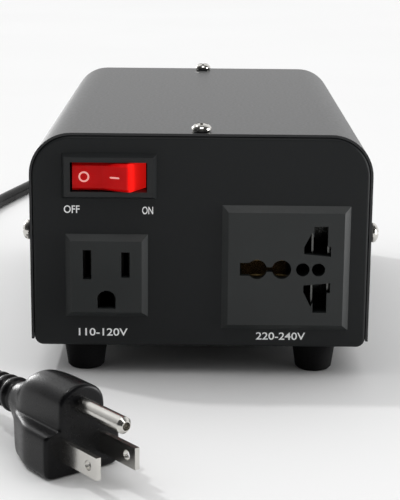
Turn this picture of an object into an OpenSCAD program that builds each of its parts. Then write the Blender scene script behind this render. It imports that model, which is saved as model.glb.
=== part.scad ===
// Bench-top mains converter: a steel box with a rocker switch, two outlets on the front panel,
// a wound ring transformer inside, and a mains lead with a three-pin plug.
// Millimetres. +Z is up, the front panel faces -Y, and the feet stand on z = 0.

/* [Case] */
// Width over the cover's sides
case_w = 113; // [104:1:130]
// Depth from the front panel's face to the rear panel's face
case_d = 186; // [174:1:220]
// Height from the panel's bottom edge to the top of the cover
case_h = 72; // [68:1:86]
// Thickness of the chassis's steel sheet
sheet = 1; // [0.8:0.1:1.4]
// Thickness of the cover's steel sheet
cover_t = 0.8; // [0.7:0.1:1.2]
// Outer radius of the cover's top corners
corner_r = 14; // [10:1:18]
// Gap between the panel rims and the inside of the cover
cover_gap = 0.2; // [0.15:0.05:0.6]
// How far the cover's ends lie behind the panel faces
cover_setback = 0.5; // [0.3:0.1:1.5]
// How far the cover's sides stop above the panel's bottom edge
cover_lift = 2; // [1:0.5:4]
// Depth of the rim that the cover is screwed to
rim_d = 11; // [10:1:15]
// Radius of the panel's bottom corners
bottom_r = 3; // [2.5:0.5:5]
// Radius of the rolled edge round each panel
edge_r = 1; // [0.8:0.1:1.4]
// Height of the lips along the base's sides
lip_h = 7; // [6:1:10]

/* [Cover screws] */
// Thread diameter of the cover screws
screw_d = 3.5; // [3:0.1:4]
// Length of a cover screw under its head
screw_len = 8; // [6:1:12]
// Head diameter of the cover screws
screw_head_d = 6.7; // [6:0.1:8]
// Head height of the cover screws
screw_head_h = 2.9; // [2:0.1:3]
// Distance of the front screws behind the front panel's face
front_screw_inset = 5.5; // [5:0.1:7]
// Distance of the rear screws before the rear panel's face
rear_screw_inset = 6; // [5:0.1:7]
// Height of the side screws above the panel's bottom edge
side_screw_z = 38.5; // [20:0.5:50]
// Clearance round a screw where it passes through
screw_gap = 0.25; // [0.15:0.05:0.4]
// Clearance round a thread where it bites
thread_gap = 0.05; // [0.03:0.01:0.1]

/* [Feet] */
// Height of the rubber feet
foot_h = 10; // [8:0.5:14]
// Diameter of a foot at the base
foot_top_d = 15; // [13:0.5:18]
// Diameter of a foot at the floor
foot_bottom_d = 12.4; // [11:0.2:14]
// Distance of a foot's centre from the case's side
foot_inset_x = 17.5; // [14:0.5:24]
// Distance of a foot's centre from the panel's face
foot_inset_y = 10.5; // [9.5:0.5:30]
// Height of the seat for the screw inside a foot
foot_seat_h = 5.5; // [4.5:0.5:7]
// Thread diameter of the foot screws
foot_screw_d = 4; // [3:0.5:4.5]
// Height of the foot nuts
foot_nut_h = 3.2; // [2.4:0.1:4]
// Width of the foot nuts across their flats
foot_nut_w = 7; // [6:0.5:8]

/* [Rocker switch] */
// Distance of the switch's centre from the case's left side
switch_inset = 26.3; // [22:0.1:34]
// Distance of the switch's centre below the top of the cover
switch_drop = 14.2; // [13:0.1:20]
// Width of the switch's frame
bezel_w = 31.2; // [30.6:0.1:34]
// Height of the switch's frame
bezel_h = 15; // [14.6:0.1:18]
// Thickness of the frame in front of the panel
bezel_t = 2.2; // [1.8:0.1:3]
// Width of the bevel round the frame
bezel_bevel = 1; // [0.6:0.1:1.4]
// Width of the window in the frame
window_w = 25.2; // [25.2:0.1:26]
// Height of the window in the frame
window_h = 9.8; // [9.6:0.1:10.4]
// Thickness of the side walls behind the panel
switch_wall = 0.7; // [0.6:0.05:0.8]
// Depth of the switch behind the panel's face
switch_depth = 22; // [21:0.5:25]
// Angle of the rocker to each side of the middle
rocker_tilt = 11; // [9:0.5:12]
// Distance of the pivot behind the pressed half's face
pivot_depth = 12; // [11.5:0.1:12.5]
// How far the pressed half lies below the frame's face
rocker_sink = 1; // [0.6:0.1:1.4]
// Clearance above and below the rocker in the window, and round its swing
rocker_gap = 0.3; // [0.25:0.05:0.4]
// Clearance at the pressed end of the rocker
rocker_end_gap = 0.7; // [0.6:0.05:0.8]
// Depth of the rocker's end walls
rocker_skirt = 11; // [10:0.5:11]
// How far the end walls flare towards the back
rocker_flare = 1.4; // [1:0.1:1.4]
// Width of the bevel along the rocker's long edges
rocker_bevel = 0.9; // [0.5:0.1:1.2]
// Thickness of the rocker's walls
rocker_wall = 1.2; // [1:0.1:1.4]
// Diameter of the rocker's trunnions
trunnion_d = 2.8; // [2.4:0.1:3.2]
// Running clearance round a trunnion
trunnion_gap = 0.05; // [0.04:0.01:0.1]
// Turn of the contact arm for each degree of the rocker
arm_ratio = 0.5; // [0.4:0.05:0.5]
// Length of the terminals behind a switch or socket
tab_len = 8; // [6:0.5:9]
// Thickness of terminals and spring contacts
tab_t = 0.8; // [0.6:0.05:1]

/* [Low-voltage outlet] */
// Distance of the outlet's centre from the case's left side
us_inset = 25.4; // [22:0.1:32]
// Height of the outlet's centre above the panel's bottom edge
us_z = 24.3; // [20:0.1:28]
// Width of the outlet's frame
us_w = 27.4; // [27:0.1:32]
// Height of the outlet's frame
us_h = 28.2; // [28:0.1:32]
// How far the outlet stands in front of the panel
us_proud = 2.2; // [1.5:0.1:4]
// Width of the bevel round the outlet
us_bevel = 2; // [1:0.1:2.2]
// Depth of the outlet's body behind the panel's face
us_depth = 20; // [17:0.5:24]
// Distance between the two blade slots
blade_pitch = 12.7; // [12.5:0.1:13]
// Distance of the earth hole below the blade slots
earth_drop = 11.9; // [11.7:0.1:12.1]
// Height of the blade slots' centre above the outlet's centre
slot_rise = 4.1; // [3:0.1:4.5]
// Width of a blade slot
slot_w = 2.8; // [2:0.1:3]
// Height of the neutral slot
neutral_slot_h = 10; // [8:0.1:10.4]
// Height of the line slot
line_slot_h = 8.6; // [7:0.1:10]
// Width of the earth hole
earth_hole_w = 6.2; // [5.2:0.1:6.4]

/* [Multi-standard outlet] */
// Distance of the outlet's centre from the case's right side
multi_inset = 28.2; // [26:0.1:34]
// Height of the outlet's centre above the panel's bottom edge
multi_z = 27.3; // [24:0.1:30]
// Width and height of the outlet's frame
multi_w = 42.4; // [42:0.1:46]
// How far the outlet stands in front of the panel
multi_proud = 2; // [1.5:0.1:4]
// Width of the bevel round the outlet
multi_bevel = 2.1; // [1.5:0.1:3]
// Depth of the outlet's body behind the panel's face
multi_depth = 23; // [20:0.5:26]
// Thickness of an outlet's face over its contacts
face_t = 2.4; // [1.8:0.1:3]
// Thickness of an outlet's back plate
back_t = 2; // [1.5:0.1:3]
// Width of the lip with which a snap-in fitting covers its cut-out
snap_lip = 1.5; // [1.2:0.1:2]
// Clearance between a snap-in body and its cut-out
snap_gap = 0.3; // [0.2:0.05:0.4]

/* [Fuse] */
// Distance of the fuse's axis from the selector's centre
fuse_step = 28.5; // [27.5:0.5:34]
// Height of the fuse's axis above the panel's bottom edge
fuse_z = 36; // [30:0.5:44]
// Diameter of the fuse holder's barrel
fuse_barrel_d = 12.4; // [12:0.1:14]
// Length of the barrel behind the panel's face
fuse_barrel_len = 30; // [28:0.5:34]
// Diameter of the holder's flange and the cap
fuse_flange_d = 16; // [15:0.2:18]
// Thickness of the holder's flange
fuse_flange_t = 2.5; // [2:0.1:3]
// Length of the cap outside the flange
fuse_cap_len = 7.5; // [6:0.5:10]
// Diameter of the fuse's glass
fuse_d = 4.8; // [4.6:0.1:5]
// Length of the fuse
fuse_len = 20; // [18:0.5:20]

/* [Voltage selector] */
// Distance of the selector's centre from the case's right side
selector_inset = 24; // [22:0.5:30]
// Height of the selector's centre above the panel's bottom edge
selector_z = 36; // [26:0.5:48]
// Width of the selector's window in the rear panel
selector_window_w = 13; // [12:0.1:15]
// Height of the selector's window
selector_window_h = 7; // [6:0.1:8]
// Travel of the selector's slider
selector_travel = 5; // [4:0.1:5.5]
// Width of the slider's knob
knob_w = 7; // [5:0.1:7]
// Clearance round the slider
slider_gap = 0.3; // [0.25:0.05:0.4]
// Distance between the selector's two screws
selector_screw_pitch = 26; // [25.5:0.5:28]
// Thread diameter of the selector screws
selector_screw_d = 3; // [2.5:0.1:3.2]

/* [Transformer] */
// Inner diameter of the steel ring core
core_inner_d = 44; // [42:1:50]
// Radial width of the core
core_w = 13; // [10:0.5:14]
// Height of the core
core_h = 30; // [24:0.5:34]
// Thickness of the winding round the core
wind_t = 7.5; // [6:0.5:8]
// Clearance between the core and the winding
core_gap = 0.2; // [0.1:0.05:0.3]
// Angle that each half of the winding covers
wind_angle = 172; // [150:1:174]
// Thickness of the rubber pads
pad_t = 2; // [1.5:0.1:3]
// Thickness of the dished clamp plate
dish_t = 2; // [1.5:0.1:3]
// Diameter of the centre bolt
bolt_d = 8; // [6:0.5:8]
// Clearance round the centre bolt
bolt_gap = 0.3; // [0.2:0.05:0.5]
// Height of the centre bolt's head and nut
bolt_head_h = 5.5; // [4.5:0.1:6.5]

/* [Mains lead] */
// Diameter of the mains lead
cord_d = 6; // [5.6:0.1:6.2]
// Distance of the lead's exit from the case's left side
gland_inset = 21.5; // [18:0.5:28]
// Height of the lead's exit above the panel's bottom edge
gland_z = 14; // [12:0.5:18]
// Diameter of the strain relief's neck through the panel
gland_neck_d = 11; // [10:0.2:13]
// Diameter of the strain relief's collar
gland_collar_d = 17; // [15:0.5:19]
// Thickness of the strain relief's collar
gland_collar_t = 3; // [2:0.5:4]
// Length of the strain relief's tapered tail
gland_tail_len = 26; // [22:1:30]
// Diameter of the leads inside the case
wire_d = 2.4; // [2:0.1:2.6]

/* [Plug] */
// Width of the plug's face
plug_w = 25; // [22:0.5:28]
// Height of the plug's face
plug_h = 26; // [25:0.5:28]
// Length of the plug's body
plug_len = 33; // [28:1:38]
// Length of the plug's ribbed tail
plug_tail_len = 18; // [14:1:22]
// Length of the flat blades
blade_len = 17; // [15:0.5:18]
// Width of a flat blade
blade_w = 6.35; // [6:0.05:6.6]
// Thickness of a flat blade
blade_t = 1.5; // [1.4:0.05:1.6]
// Diameter of the hole in a blade
blade_hole_d = 3; // [2.5:0.1:3.2]
// Length of the earth pin
earth_pin_len = 21; // [19:0.5:22]
// Diameter of the earth pin
earth_pin_d = 4.75; // [4.6:0.05:4.8]

/* [Hidden] */
$fn = 64;

// Turns a point of the plane about its origin
function turned(p, a) = [p[0] * cos(a) - p[1] * sin(a), p[0] * sin(a) + p[1] * cos(a)];

// Rocker seen along its pivot: x runs along the switch and y points out of the panel
pressed_end = [window_w / 2 - rocker_end_gap, pivot_depth];
pressed_skirt = pressed_end + [rocker_flare, -rocker_skirt];
rocker_end = turned(pressed_end, rocker_tilt);
skirt_end = turned(pressed_skirt, rocker_tilt);
rocker_valley = pivot_depth / cos(rocker_tilt);
rocker_raise = turned(rocker_end, rocker_tilt)[1] - pivot_depth;
rocker_h = window_h - 2 * rocker_gap;
cavity_w = 2 * (norm(skirt_end) + rocker_gap);
switch_body_w = cavity_w + 2 * switch_wall;
switch_body_h = bezel_h - 2 * snap_lip;
pivot_y = pivot_depth + rocker_sink - bezel_t;
trunnion_len = (switch_body_h - rocker_h) / 2;

// Contact arm under the rocker
arm_len = 18;
arm_w = 4.8;
arm_t = 0.8;
plunger_reach = 4.4;
plunger_tip = 1;
plunger_top = 3;
plunger_seat = 0.15;
spring_top = 6;
spring_seat = 0.05;
spring_wall = 0.4;
arm_depth = plunger_reach + arm_t + plunger_seat;
arm_tilt = rocker_tilt * arm_ratio;
contact_x = 8;
contact_gap = 0.25;
plunger_d = 2.4;
stem_d = 4.8;
stem_below = 1.5;
switch_floor = 1.5;

// Frame: the middle of the object's length lies at y = 0
cap_gap = 0.3;
front_reach = bezel_t - rocker_sink + rocker_raise;
rear_reach = fuse_flange_t + cap_gap + fuse_cap_len;
y_front = -(case_d + rear_reach - front_reach) / 2;
y_rear = y_front + case_d;
floor_z = foot_h + sheet;
shell_w = case_w - 2 * (cover_t + cover_gap);
shell_h = case_h - cover_t - cover_gap;
shell_r = corner_r - cover_t - cover_gap;
cover_len = case_d - 2 * cover_setback;

// Snap lugs behind a panel, and the heads of small screws in thread diameters
lug_seat = 0.2;
lug_len = 3;
lug_reach = 0.5;
head_wide = 1.8;
head_high = 0.6;

// Places on the two panels
switch_x = switch_inset - case_w / 2;
switch_z = case_h - switch_drop;
us_x = us_inset - case_w / 2;
multi_x = case_w / 2 - multi_inset;
selector_x = case_w / 2 - selector_inset;
fuse_x = selector_x - fuse_step;
gland_x = gland_inset - case_w / 2;

// Outlet bodies and the round and shaped openings of the multi-standard outlet
us_body_w = us_w - 2 * snap_lip;
us_body_h = us_h - 2 * snap_lip;
multi_body_w = multi_w - 2 * snap_lip;
leaf_t = 0.6;
tab_h = 5;
tab_gap = 0.1;
pocket_room = 0.5;
flat_inset = 0.1;
blade_play = 0.1;
earth_z = slot_rise - earth_drop;
multi_slot = [[5.9, 5.3], [14.8, 4.5], [14.8, 7.9], [13.7, 7.9], [13.7, 14.7], [9.1, 14.7],
  [9.1, 11.2], [8.4, 12.7], [5.9, 7.7]];
multi_pocket = [[5.3, 4], [15.5, 15.2]];
multi_earth_pocket = [[-15.6, -3.8], [2.6, 3.8]];
multi_holes = [[-9.6, 3.3], [-1.4, 3.2]];
multi_blind_holes = [[5.6, 2.25], [10.8, 2.2]];
multi_notch = [[-15.2, -2.2], [-9.4, 2.2]];
multi_groove = [[-9.4, -0.8], [-1.4, 0.8]];
blind_depth = 12;
multi_clip = [11.45, 9.6];
multi_clip_gap = 4.7;
multi_earth_clip_x = -6.5;
multi_earth_gap = 4.8;
multi_leaf_h = 9;
multi_earth_leaf_h = 16;

// Fuse: carrier, neck and contact rod
carrier_d = 7.8;
carrier_gap = 0.4;
holder_bore_d = carrier_d + 2 * carrier_gap;
holder_end_t = 3;
fuse_nut_h = 4;
side_tab_y = fuse_barrel_len - 8;
carrier_disc_t = 2.2;
carrier_neck_d = 4;
clip_len = 6;
fuse_end_len = 5;
fuse_end_t = 0.15;
fuse_play = 0.2;
end_gap = 0.05;
carrier_neck_len = fuse_flange_t + cap_gap + fuse_cap_len / 2 - fuse_play - carrier_disc_t;
contact_rod_d = 3;
cap_d = fuse_flange_d - 3;
cap_slot_w = 1.4;
cap_slot_t = 1.2;
cap_groove = 0.9;

// Selector: box behind the panel and the slider in it
selector_w = 21;
selector_h = 11;
selector_depth = 10;
selector_ear_t = 1.2;
selector_ear_end = 4;
selector_room_h = selector_h - 2.4;
slider_plate_w = 10;
slider_plate_t = 2;
selector_screw_len = 6;
knob_proud = 0.3;
knob_groove = 1;

// Transformer stack on the floor of the case
wind_h = core_h + 2 * (wind_t + core_gap);
wind_r = core_inner_d / 2 + core_w + wind_t + core_gap;
wind_hole_r = core_inner_d / 2 - wind_t - core_gap;
wind_bevel = 4;
wind_base_z = floor_z + pad_t;
wind_top_z = wind_base_z + wind_h;
clamp_r = wind_hole_r + 12;
outlet_reach = max(us_depth, multi_depth) + back_t + tab_len;
fuse_reach = fuse_barrel_len + tab_len;
toroid_y = y_front + (outlet_reach + case_d - fuse_reach) / 2;
stack_top_z = wind_top_z + pad_t + dish_t;
bolt_end_z = stack_top_z + bolt_head_h + 2;
nut_w = bolt_d * 1.6;

// Wires: gap at a joint, and where their ends come down on the winding
wire_seat = 0.2;
joint_r = clamp_r + 5.5;
arrival_r = joint_r + 6;
arrival_h = 9;
joint_h = 5;

// Earth tag on the floor of the case
lug_step = 14;
lug_inset = 34;
lug_x = gland_x + lug_step;
lug_y = y_rear - lug_inset;
lug_d = 8;
lug_t = 0.8;
lug_tongue = 12;
lug_tongue_w = 4.4;
earth_screw_len = 6;

// Strain relief and the lead's route over the floor
gland_y = y_rear + gland_collar_t + gland_tail_len;
gland_inner = sheet + lug_seat + lug_len;
gland_ribs = 5;
gland_wall = 1;
cord_r = cord_d / 2;
cord_seat = 0.02;
exit_z = foot_h + gland_z;
coil_centre = [2, 180];
coil_r = 37;
coil_turns = 3;
coil_pitch = 6.6;
coil_climb = 0.5;
coil_end = 6;
tie_t = 0.8;
tie_w = 5;
tie_angle = 90;
tie_room = 0.7;
coil_lift = tie_t + tie_room;
coil_start = [coil_centre[0] - coil_r, coil_centre[1], cord_r];
lead_route = [[gland_x, gland_y + cord_seat, exit_z], [gland_x, gland_y + 7, exit_z],
  [-35, 136, 18.5], [-35, 146, 11.5], [-35, 156, 5.5], [-35, 165, 3.3],
  coil_start - [0, coil_end + 5, 0], coil_start - [0, coil_end + cord_seat, 0]];
run_route = [coil_start + [0, coil_end + cord_seat, coil_pitch], coil_start + [0, coil_end + 6, coil_pitch],
  [-35.5, 203, 9], [-36, 214, 7.6], [-37, 226, 6], [-39.5, 238, 4.6], [-46, 248, 3.6], [-56.5, 254.5, 3.1],
  [-69, 255.5, 3], [-78.5, 252, 3], [-84.8, 244, 3], [-88.3, 233, 3], [-91.8, 220.5, 3], [-95.2, 208, 3],
  [-98.7, 195, 3], [-102, 182.5, 3], [-105, 170, 3], [-107.4, 155, 3], [-109, 138, 3], [-109.6, 120, 3],
  [-109.2, 101, 3], [-108, 82, 3], [-106.2, 63, 3], [-104.4, 44, 3], [-102.6, 25, 3], [-100.7, 6, 3],
  [-98.6, -14, 3], [-96.2, -35, 3], [-93.8, -56, 3], [-91.2, -76, 3],
  [-87.5, -95, 3.4], [-84, -110, 5.5], [-79.5, -121.5, 8.5], [-74.5, -130, 11.2]];

// Plug lying on the floor, seen from its face along +X: place of the face and the plug's turn
plug_at = [-32, -184];
plug_turn = -52;
plug_axis_z = plug_h / 2;
blade_below_axis = 5;
plug_blade_z = plug_axis_z - blade_below_axis;
plug_edge = 0.8;
plug_shoulder = 2;
plug_waist = 3;
plug_slope = 4.5;
plug_dome_w = 14.8;
plug_dome_len = 20;
plug_rib_count = 4;
plug_tail_d = 8;
plug_taper = 1.4;
plug_end_r = cord_r + 0.6;
blade_hole_inset = 4;
earth_tip = 1.2;
earth_bore_d = 2.4;
earth_bore_len = 4;

// Unit vector
function unit(v) = v / norm(v);

// Point on the smooth curve through the points p, between p[i] and p[i + 1]
function between(p, i, t) =
  let (a = p[max(i - 1, 0)], b = p[i], c = p[i + 1], d = p[min(i + 2, len(p) - 1)])
  (2 * b + (c - a) * t + (2 * a - 5 * b + 4 * c - d) * t ^ 2 + (3 * b - a - 3 * c + d) * t ^ 3) / 2;

// Smooth curve through the points p, with k steps between each two and straight first and last stretches
function smooth(p, k) = concat([p[0]],
  [for (i = [1 : len(p) - 3]) for (j = [0 : k - 1]) between(p, i, j / k)], [p[len(p) - 2], p[len(p) - 1]]);

// Directions along a line of points
function along(p) = [for (i = [0 : len(p) - 1]) unit(p[min(i + 1, len(p) - 1)] - p[max(i - 1, 0)])];

// Normals carried along the directions t without twist
function carried(t, n0) = [for (i = 0, n = unit(n0 - (n0 * t[0]) * t[0]); i < len(t); i = i + 1,
  n = i < len(t) ? unit(n - (n * t[i]) * t[i]) : n) n];

// Faces of a closed skin over rings of the same number of points
function skin_faces(rings, sides) = concat(
  [for (i = [0 : rings - 2]) for (k = [0 : sides - 1])
    let (a = i * sides + k, b = i * sides + (k + 1) % sides)
    each [[a, b, b + sides], [a, b + sides, a + sides]]],
  [for (k = [1 : sides - 2]) each [[0, k + 1, k], [(rings - 1) * sides, (rings - 1) * sides + k,
    (rings - 1) * sides + k + 1]]]);

// Round tube along a line of points
module tube(p, r, sides) {
  t = along(p);
  n0 = abs(t[0][2]) > 0.7 ? [1, 0, 0] : [0, 0, 1];
  n = carried(t, n0);
  rings = [for (i = [0 : len(p) - 1]) for (k = [0 : sides - 1]) let (a = -360 * (k + 0.5) / sides)
    p[i] + r * (cos(a) * n[i] + sin(a) * cross(t[i], n[i]))];
  polyhedron(points = rings, faces = skin_faces(len(p), sides), convexity = 6);
}

// Moves to a place on a panel, with +y pointing into the case
module at_front(x, z) {
  translate([x, y_front, foot_h + z]) children();
}

module at_rear(x, z) {
  translate([x, y_rear, foot_h + z]) mirror([0, 1, 0]) children();
}

// Straight round bar along +y
module bar_y(d, y0, y1) {
  translate([0, y0, 0]) rotate([-90, 0, 0]) cylinder(d = d, h = y1 - y0);
}

// Box from its two corners
module box(a, b) {
  translate(a) cube(b - a);
}

// Box centred on the y axis
module box_y(w, h, y0, y1) {
  box([-w / 2, y0, -h / 2], [w / 2, y1, h / 2]);
}

// Pan-head screw along -z with its head above z = 0, tucked in under its widest ring
module pan_screw(d, len, head_d, head_h) {
  rim_h = head_h * 0.3;
  tuck = 36;
  skirt = [for (a = [-tuck : 12 : -12]) [head_d / 2 * cos(a), rim_h * (1 + sin(a) / sin(tuck))]];
  dome = [for (a = [0 : 15 : 90]) [head_d / 2 * cos(a), rim_h + (head_h - rim_h) * sin(a)]];
  difference() {
    union() {
      rotate_extrude() polygon(concat([[0, 0]], skirt, dome));
      translate([0, 0, -len]) cylinder(d = d, h = len);
    }
    for (a = [0, 90])
      rotate(a) translate([0, 0, head_h]) cube([head_d * 0.62, head_d * 0.14, head_h], center = true);
  }
}

// Hexagon nut on z = 0
module hex_nut(w, h, bore) {
  difference() {
    cylinder(d = w / cos(30), h = h, $fn = 6);
    translate([0, 0, -1]) cylinder(d = bore, h = h + 2);
  }
}

// Frame with bevelled edges in front of a panel
module bevelled_frame(w, h, t, bevel) {
  intersection() {
    translate([0, 0, -h / 2]) linear_extrude(h)
      polygon([[-w / 2, 0], [w / 2, 0], [w / 2 - bevel, -t], [-w / 2 + bevel, -t]]);
    rotate([90, 0, 90]) linear_extrude(w, center = true)
      polygon([[0, -h / 2], [0, h / 2], [-t, h / 2 - bevel], [-t, -h / 2 + bevel]]);
  }
}

// Lugs at both sides of a snap-in body that hold it behind the panel
module snap_lugs(w, h) {
  for (s = [-1, 1])
    translate([s * w / 2, sheet + lug_seat + lug_len / 2, 0])
      cube([2 * (snap_gap + lug_reach), lug_len, h], center = true);
}

// Spring contact: two leaves, the bridge behind them and the terminal through the back plate
module spring_clip(gap, h, y0, y1) {
  for (s = [-1, 1])
    translate([s * (gap + leaf_t) / 2, 0, 0]) box_y(leaf_t, h, y0, y1);
  box_y(gap + 2 * leaf_t, h, y1 - leaf_t, y1);
  box_y(tab_t, tab_h, y1, y1 + back_t + tab_len);
}

// Slit in a back plate for one terminal
module tab_slit(y0) {
  box_y(tab_t + 2 * tab_gap, tab_h + 2 * tab_gap, y0 - 1, y0 + back_t + 1);
}

// Section of a panel's rim: inward from the edge, then into the case
function rim_profile(m) = concat([[0, rim_d]],
  [for (i = [0 : 4]) [edge_r * (1 - cos(22.5 * i)), edge_r * (1 - sin(22.5 * i))]],
  [[m, 0], [m, sheet], [sheet, sheet], [sheet, rim_d]]);

module rim_edge(length) {
  linear_extrude(length) polygon(rim_profile(bottom_r));
}

module rim_corner(r) {
  rotate([-90, 0, 0]) rotate_extrude(angle = 90) polygon([for (p = rim_profile(r)) [r - p[0], p[1]]]);
}

// Panel with its rim, face at y = 0 and bottom edge at z = 0
module pan() {
  half = shell_w / 2;
  side = shell_h - shell_r - bottom_r;
  translate([shell_r - half, 0, shell_h]) rotate([0, 90, 0]) rim_edge(shell_w - 2 * shell_r);
  translate([half, 0, shell_h - shell_r]) rotate([0, 180, 0]) rim_edge(side);
  translate([half - bottom_r, 0, 0]) rotate([0, 270, 0]) rim_edge(shell_w - 2 * bottom_r);
  translate([-half, 0, bottom_r]) rim_edge(side);
  translate([half - bottom_r, 0, bottom_r]) rim_corner(bottom_r);
  translate([bottom_r - half, 0, bottom_r]) rotate([0, 90, 0]) rim_corner(bottom_r);
  translate([shell_r - half, 0, shell_h - shell_r]) rotate([0, 180, 0]) rim_corner(shell_r);
  translate([half - shell_r, 0, shell_h - shell_r]) rotate([0, 270, 0]) rim_corner(shell_r);
  x0 = half - bottom_r;
  x1 = half - shell_r;
  z1 = shell_h - shell_r;
  z2 = shell_h - bottom_r;
  translate([0, sheet, 0]) rotate([90, 0, 0]) linear_extrude(sheet)
    polygon([[-x0, bottom_r], [x0, bottom_r], [x0, z1], [x1, z1], [x1, z2], [-x1, z2], [-x1, z1], [-x0, z1]]);
}

// Floor of the case between the two rims, with its side lips
module base_tray() {
  half = shell_w / 2;
  length = case_d - 2 * rim_d;
  translate([0, rim_d, 0]) {
    box([bottom_r - half, 0, 0], [half - bottom_r, length, sheet]);
    for (s = [0, 1])
      mirror([s, 0, 0]) {
        box([half - sheet, 0, bottom_r], [half, length, lip_h]);
        translate([half - bottom_r, 0, bottom_r]) rotate([-90, 0, 0]) rotate_extrude(angle = 90)
          translate([bottom_r - sheet, 0]) square([sheet, length]);
      }
  }
}

// Places of the feet
function foot_places() = [for (y = [y_front + foot_inset_y, y_rear - foot_inset_y])
  for (s = [-1, 1]) [s * (case_w / 2 - foot_inset_x), y]];

// Turns each cover screw to its place, with -z pointing into the case
module at_cover_screws() {
  for (y = [y_front + front_screw_inset, y_rear - rear_screw_inset]) {
    translate([0, y, foot_h + case_h]) children();
    for (s = [-1, 1])
      translate([s * case_w / 2, y, foot_h + side_screw_z]) rotate([0, 90 * s, 0]) children();
  }
}

module chassis() {
  color("#26282a") difference() {
    union() {
      translate([0, y_front, foot_h]) pan();
      translate([0, y_rear, foot_h]) mirror([0, 1, 0]) pan();
      translate([0, y_front, foot_h]) base_tray();
    }
    at_front(switch_x, switch_z)
      box_y(switch_body_w + 2 * snap_gap, switch_body_h + 2 * snap_gap, -1, sheet + 1);
    at_front(us_x, us_z) box_y(us_body_w + 2 * snap_gap, us_body_h + 2 * snap_gap, -1, sheet + 1);
    at_front(multi_x, multi_z)
      box_y(multi_body_w + 2 * snap_gap, multi_body_w + 2 * snap_gap, -1, sheet + 1);
    at_rear(fuse_x, fuse_z) bar_y(fuse_barrel_d + 2 * snap_gap, -1, sheet + 1);
    at_rear(gland_x, gland_z) bar_y(gland_neck_d + 2 * snap_gap, -1, sheet + 1);
    at_rear(selector_x, selector_z) {
      box_y(selector_window_w, selector_window_h, -1, sheet + 1);
      for (s = [-1, 1])
        translate([s * selector_screw_pitch / 2, 0, 0])
          bar_y(selector_screw_d + 2 * screw_gap, -1, sheet + 1);
    }
    for (p = foot_places())
      translate([p[0], p[1], foot_h - 1]) cylinder(d = foot_screw_d + 2 * screw_gap, h = sheet + 2);
    translate([0, toroid_y, foot_h - 1]) cylinder(d = bolt_d + 2 * bolt_gap, h = sheet + 2);
    translate([lug_x, lug_y, foot_h - 1]) cylinder(d = foot_screw_d + 2 * thread_gap, h = sheet + 2);
    at_cover_screws() translate([0, 0, -screw_len]) cylinder(d = screw_d + 2 * thread_gap, h = screw_len);
  }
}

module top_cover() {
  color("#303234") difference() {
    translate([0, y_front + cover_setback, foot_h]) {
      box([corner_r - case_w / 2, 0, case_h - cover_t], [case_w / 2 - corner_r, cover_len, case_h]);
      for (s = [0, 1])
        mirror([s, 0, 0]) {
          box([case_w / 2 - cover_t, 0, cover_lift], [case_w / 2, cover_len, case_h - corner_r]);
          translate([case_w / 2 - corner_r, 0, case_h - corner_r]) rotate([0, 270, 0]) rotate([-90, 0, 0])
            rotate_extrude(angle = 90) translate([corner_r - cover_t, 0]) square([cover_t, cover_len]);
        }
    }
    at_cover_screws() translate([0, 0, -cover_t - 1]) cylinder(d = screw_d + 2 * screw_gap, h = cover_t + 2);
  }
}

module cover_screws() {
  color("#c9c8c4") at_cover_screws() pan_screw(screw_d, screw_len, screw_head_d, screw_head_h);
}

// Rubber foot with the seat for its screw
module foot(k) {
  place = foot_places()[k];
  bottom = foot_bottom_d / 2;
  hole = foot_screw_d / 2 + screw_gap;
  well = foot_screw_d * head_wide / 2 + 0.7;
  edge = 0.8;
  color("#1b1b1c") translate([place[0], place[1], 0]) rotate_extrude()
    polygon([[well, 0], [bottom - edge, 0], [bottom, edge], [foot_top_d / 2, foot_h], [hole, foot_h],
      [hole, foot_seat_h], [well, foot_seat_h]]);
}

module foot_front_left() { foot(0); }

module foot_front_right() { foot(1); }

module foot_rear_left() { foot(2); }

module foot_rear_right() { foot(3); }

module foot_screws() {
  length = foot_h - foot_seat_h + sheet + foot_nut_h + 1;
  color("#b9b8b4") for (p = foot_places())
    translate([p[0], p[1], foot_seat_h]) rotate([180, 0, 0])
      pan_screw(foot_screw_d, length, foot_screw_d * head_wide, foot_screw_d * head_high);
}

module foot_nuts() {
  color("#b9b8b4") for (p = foot_places())
    translate([p[0], p[1], floor_z]) hex_nut(foot_nut_w, foot_nut_h, foot_screw_d + 2 * thread_gap);
}

// Switch
module switch_housing() {
  floor_y = switch_depth - switch_floor;
  color("#2a2c2d") at_front(switch_x, switch_z) difference() {
    union() {
      bevelled_frame(bezel_w, bezel_h, bezel_t, bezel_bevel);
      box_y(switch_body_w, switch_body_h, 0, switch_depth);
      snap_lugs(switch_body_w, 6);
    }
    box_y(window_w, window_h, -bezel_t - 1, sheet + 1);
    box_y(cavity_w, window_h, sheet, floor_y);
    translate([0, pivot_y, -switch_body_h])
      cylinder(d = trunnion_d + 2 * trunnion_gap, h = 2 * switch_body_h);
    for (x = [-contact_x, 0, contact_x])
      translate([x, 0, 0]) box_y(tab_t + 2 * tab_gap, arm_w + 2 * tab_gap, floor_y - 1, switch_depth + 1);
  }
}

// Rest pose of the rocker: its O end pressed in; y points out of the panel here
module in_rocker() {
  at_front(switch_x, switch_z) translate([0, pivot_y, 0]) rotate(-rocker_tilt) mirror([0, 1, 0]) children();
}

// Half of the rocker at +X, its long edges bevelled along the face
module rocker_half() {
  edge = rocker_h / 2;
  back = 2 * rocker_skirt;
  intersection() {
    linear_extrude(rocker_h, center = true)
      polygon([[0, skirt_end[1]], skirt_end, rocker_end, [0, rocker_valley]]);
    translate([0, rocker_valley, 0]) rotate(rocker_tilt) rotate([90, 0, 90])
      linear_extrude(2 * window_w, center = true)
        polygon([[-back, -edge], [-rocker_bevel, -edge], [0, rocker_bevel - edge],
          [0, edge - rocker_bevel], [-rocker_bevel, edge], [-back, edge]]);
  }
}

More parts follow.
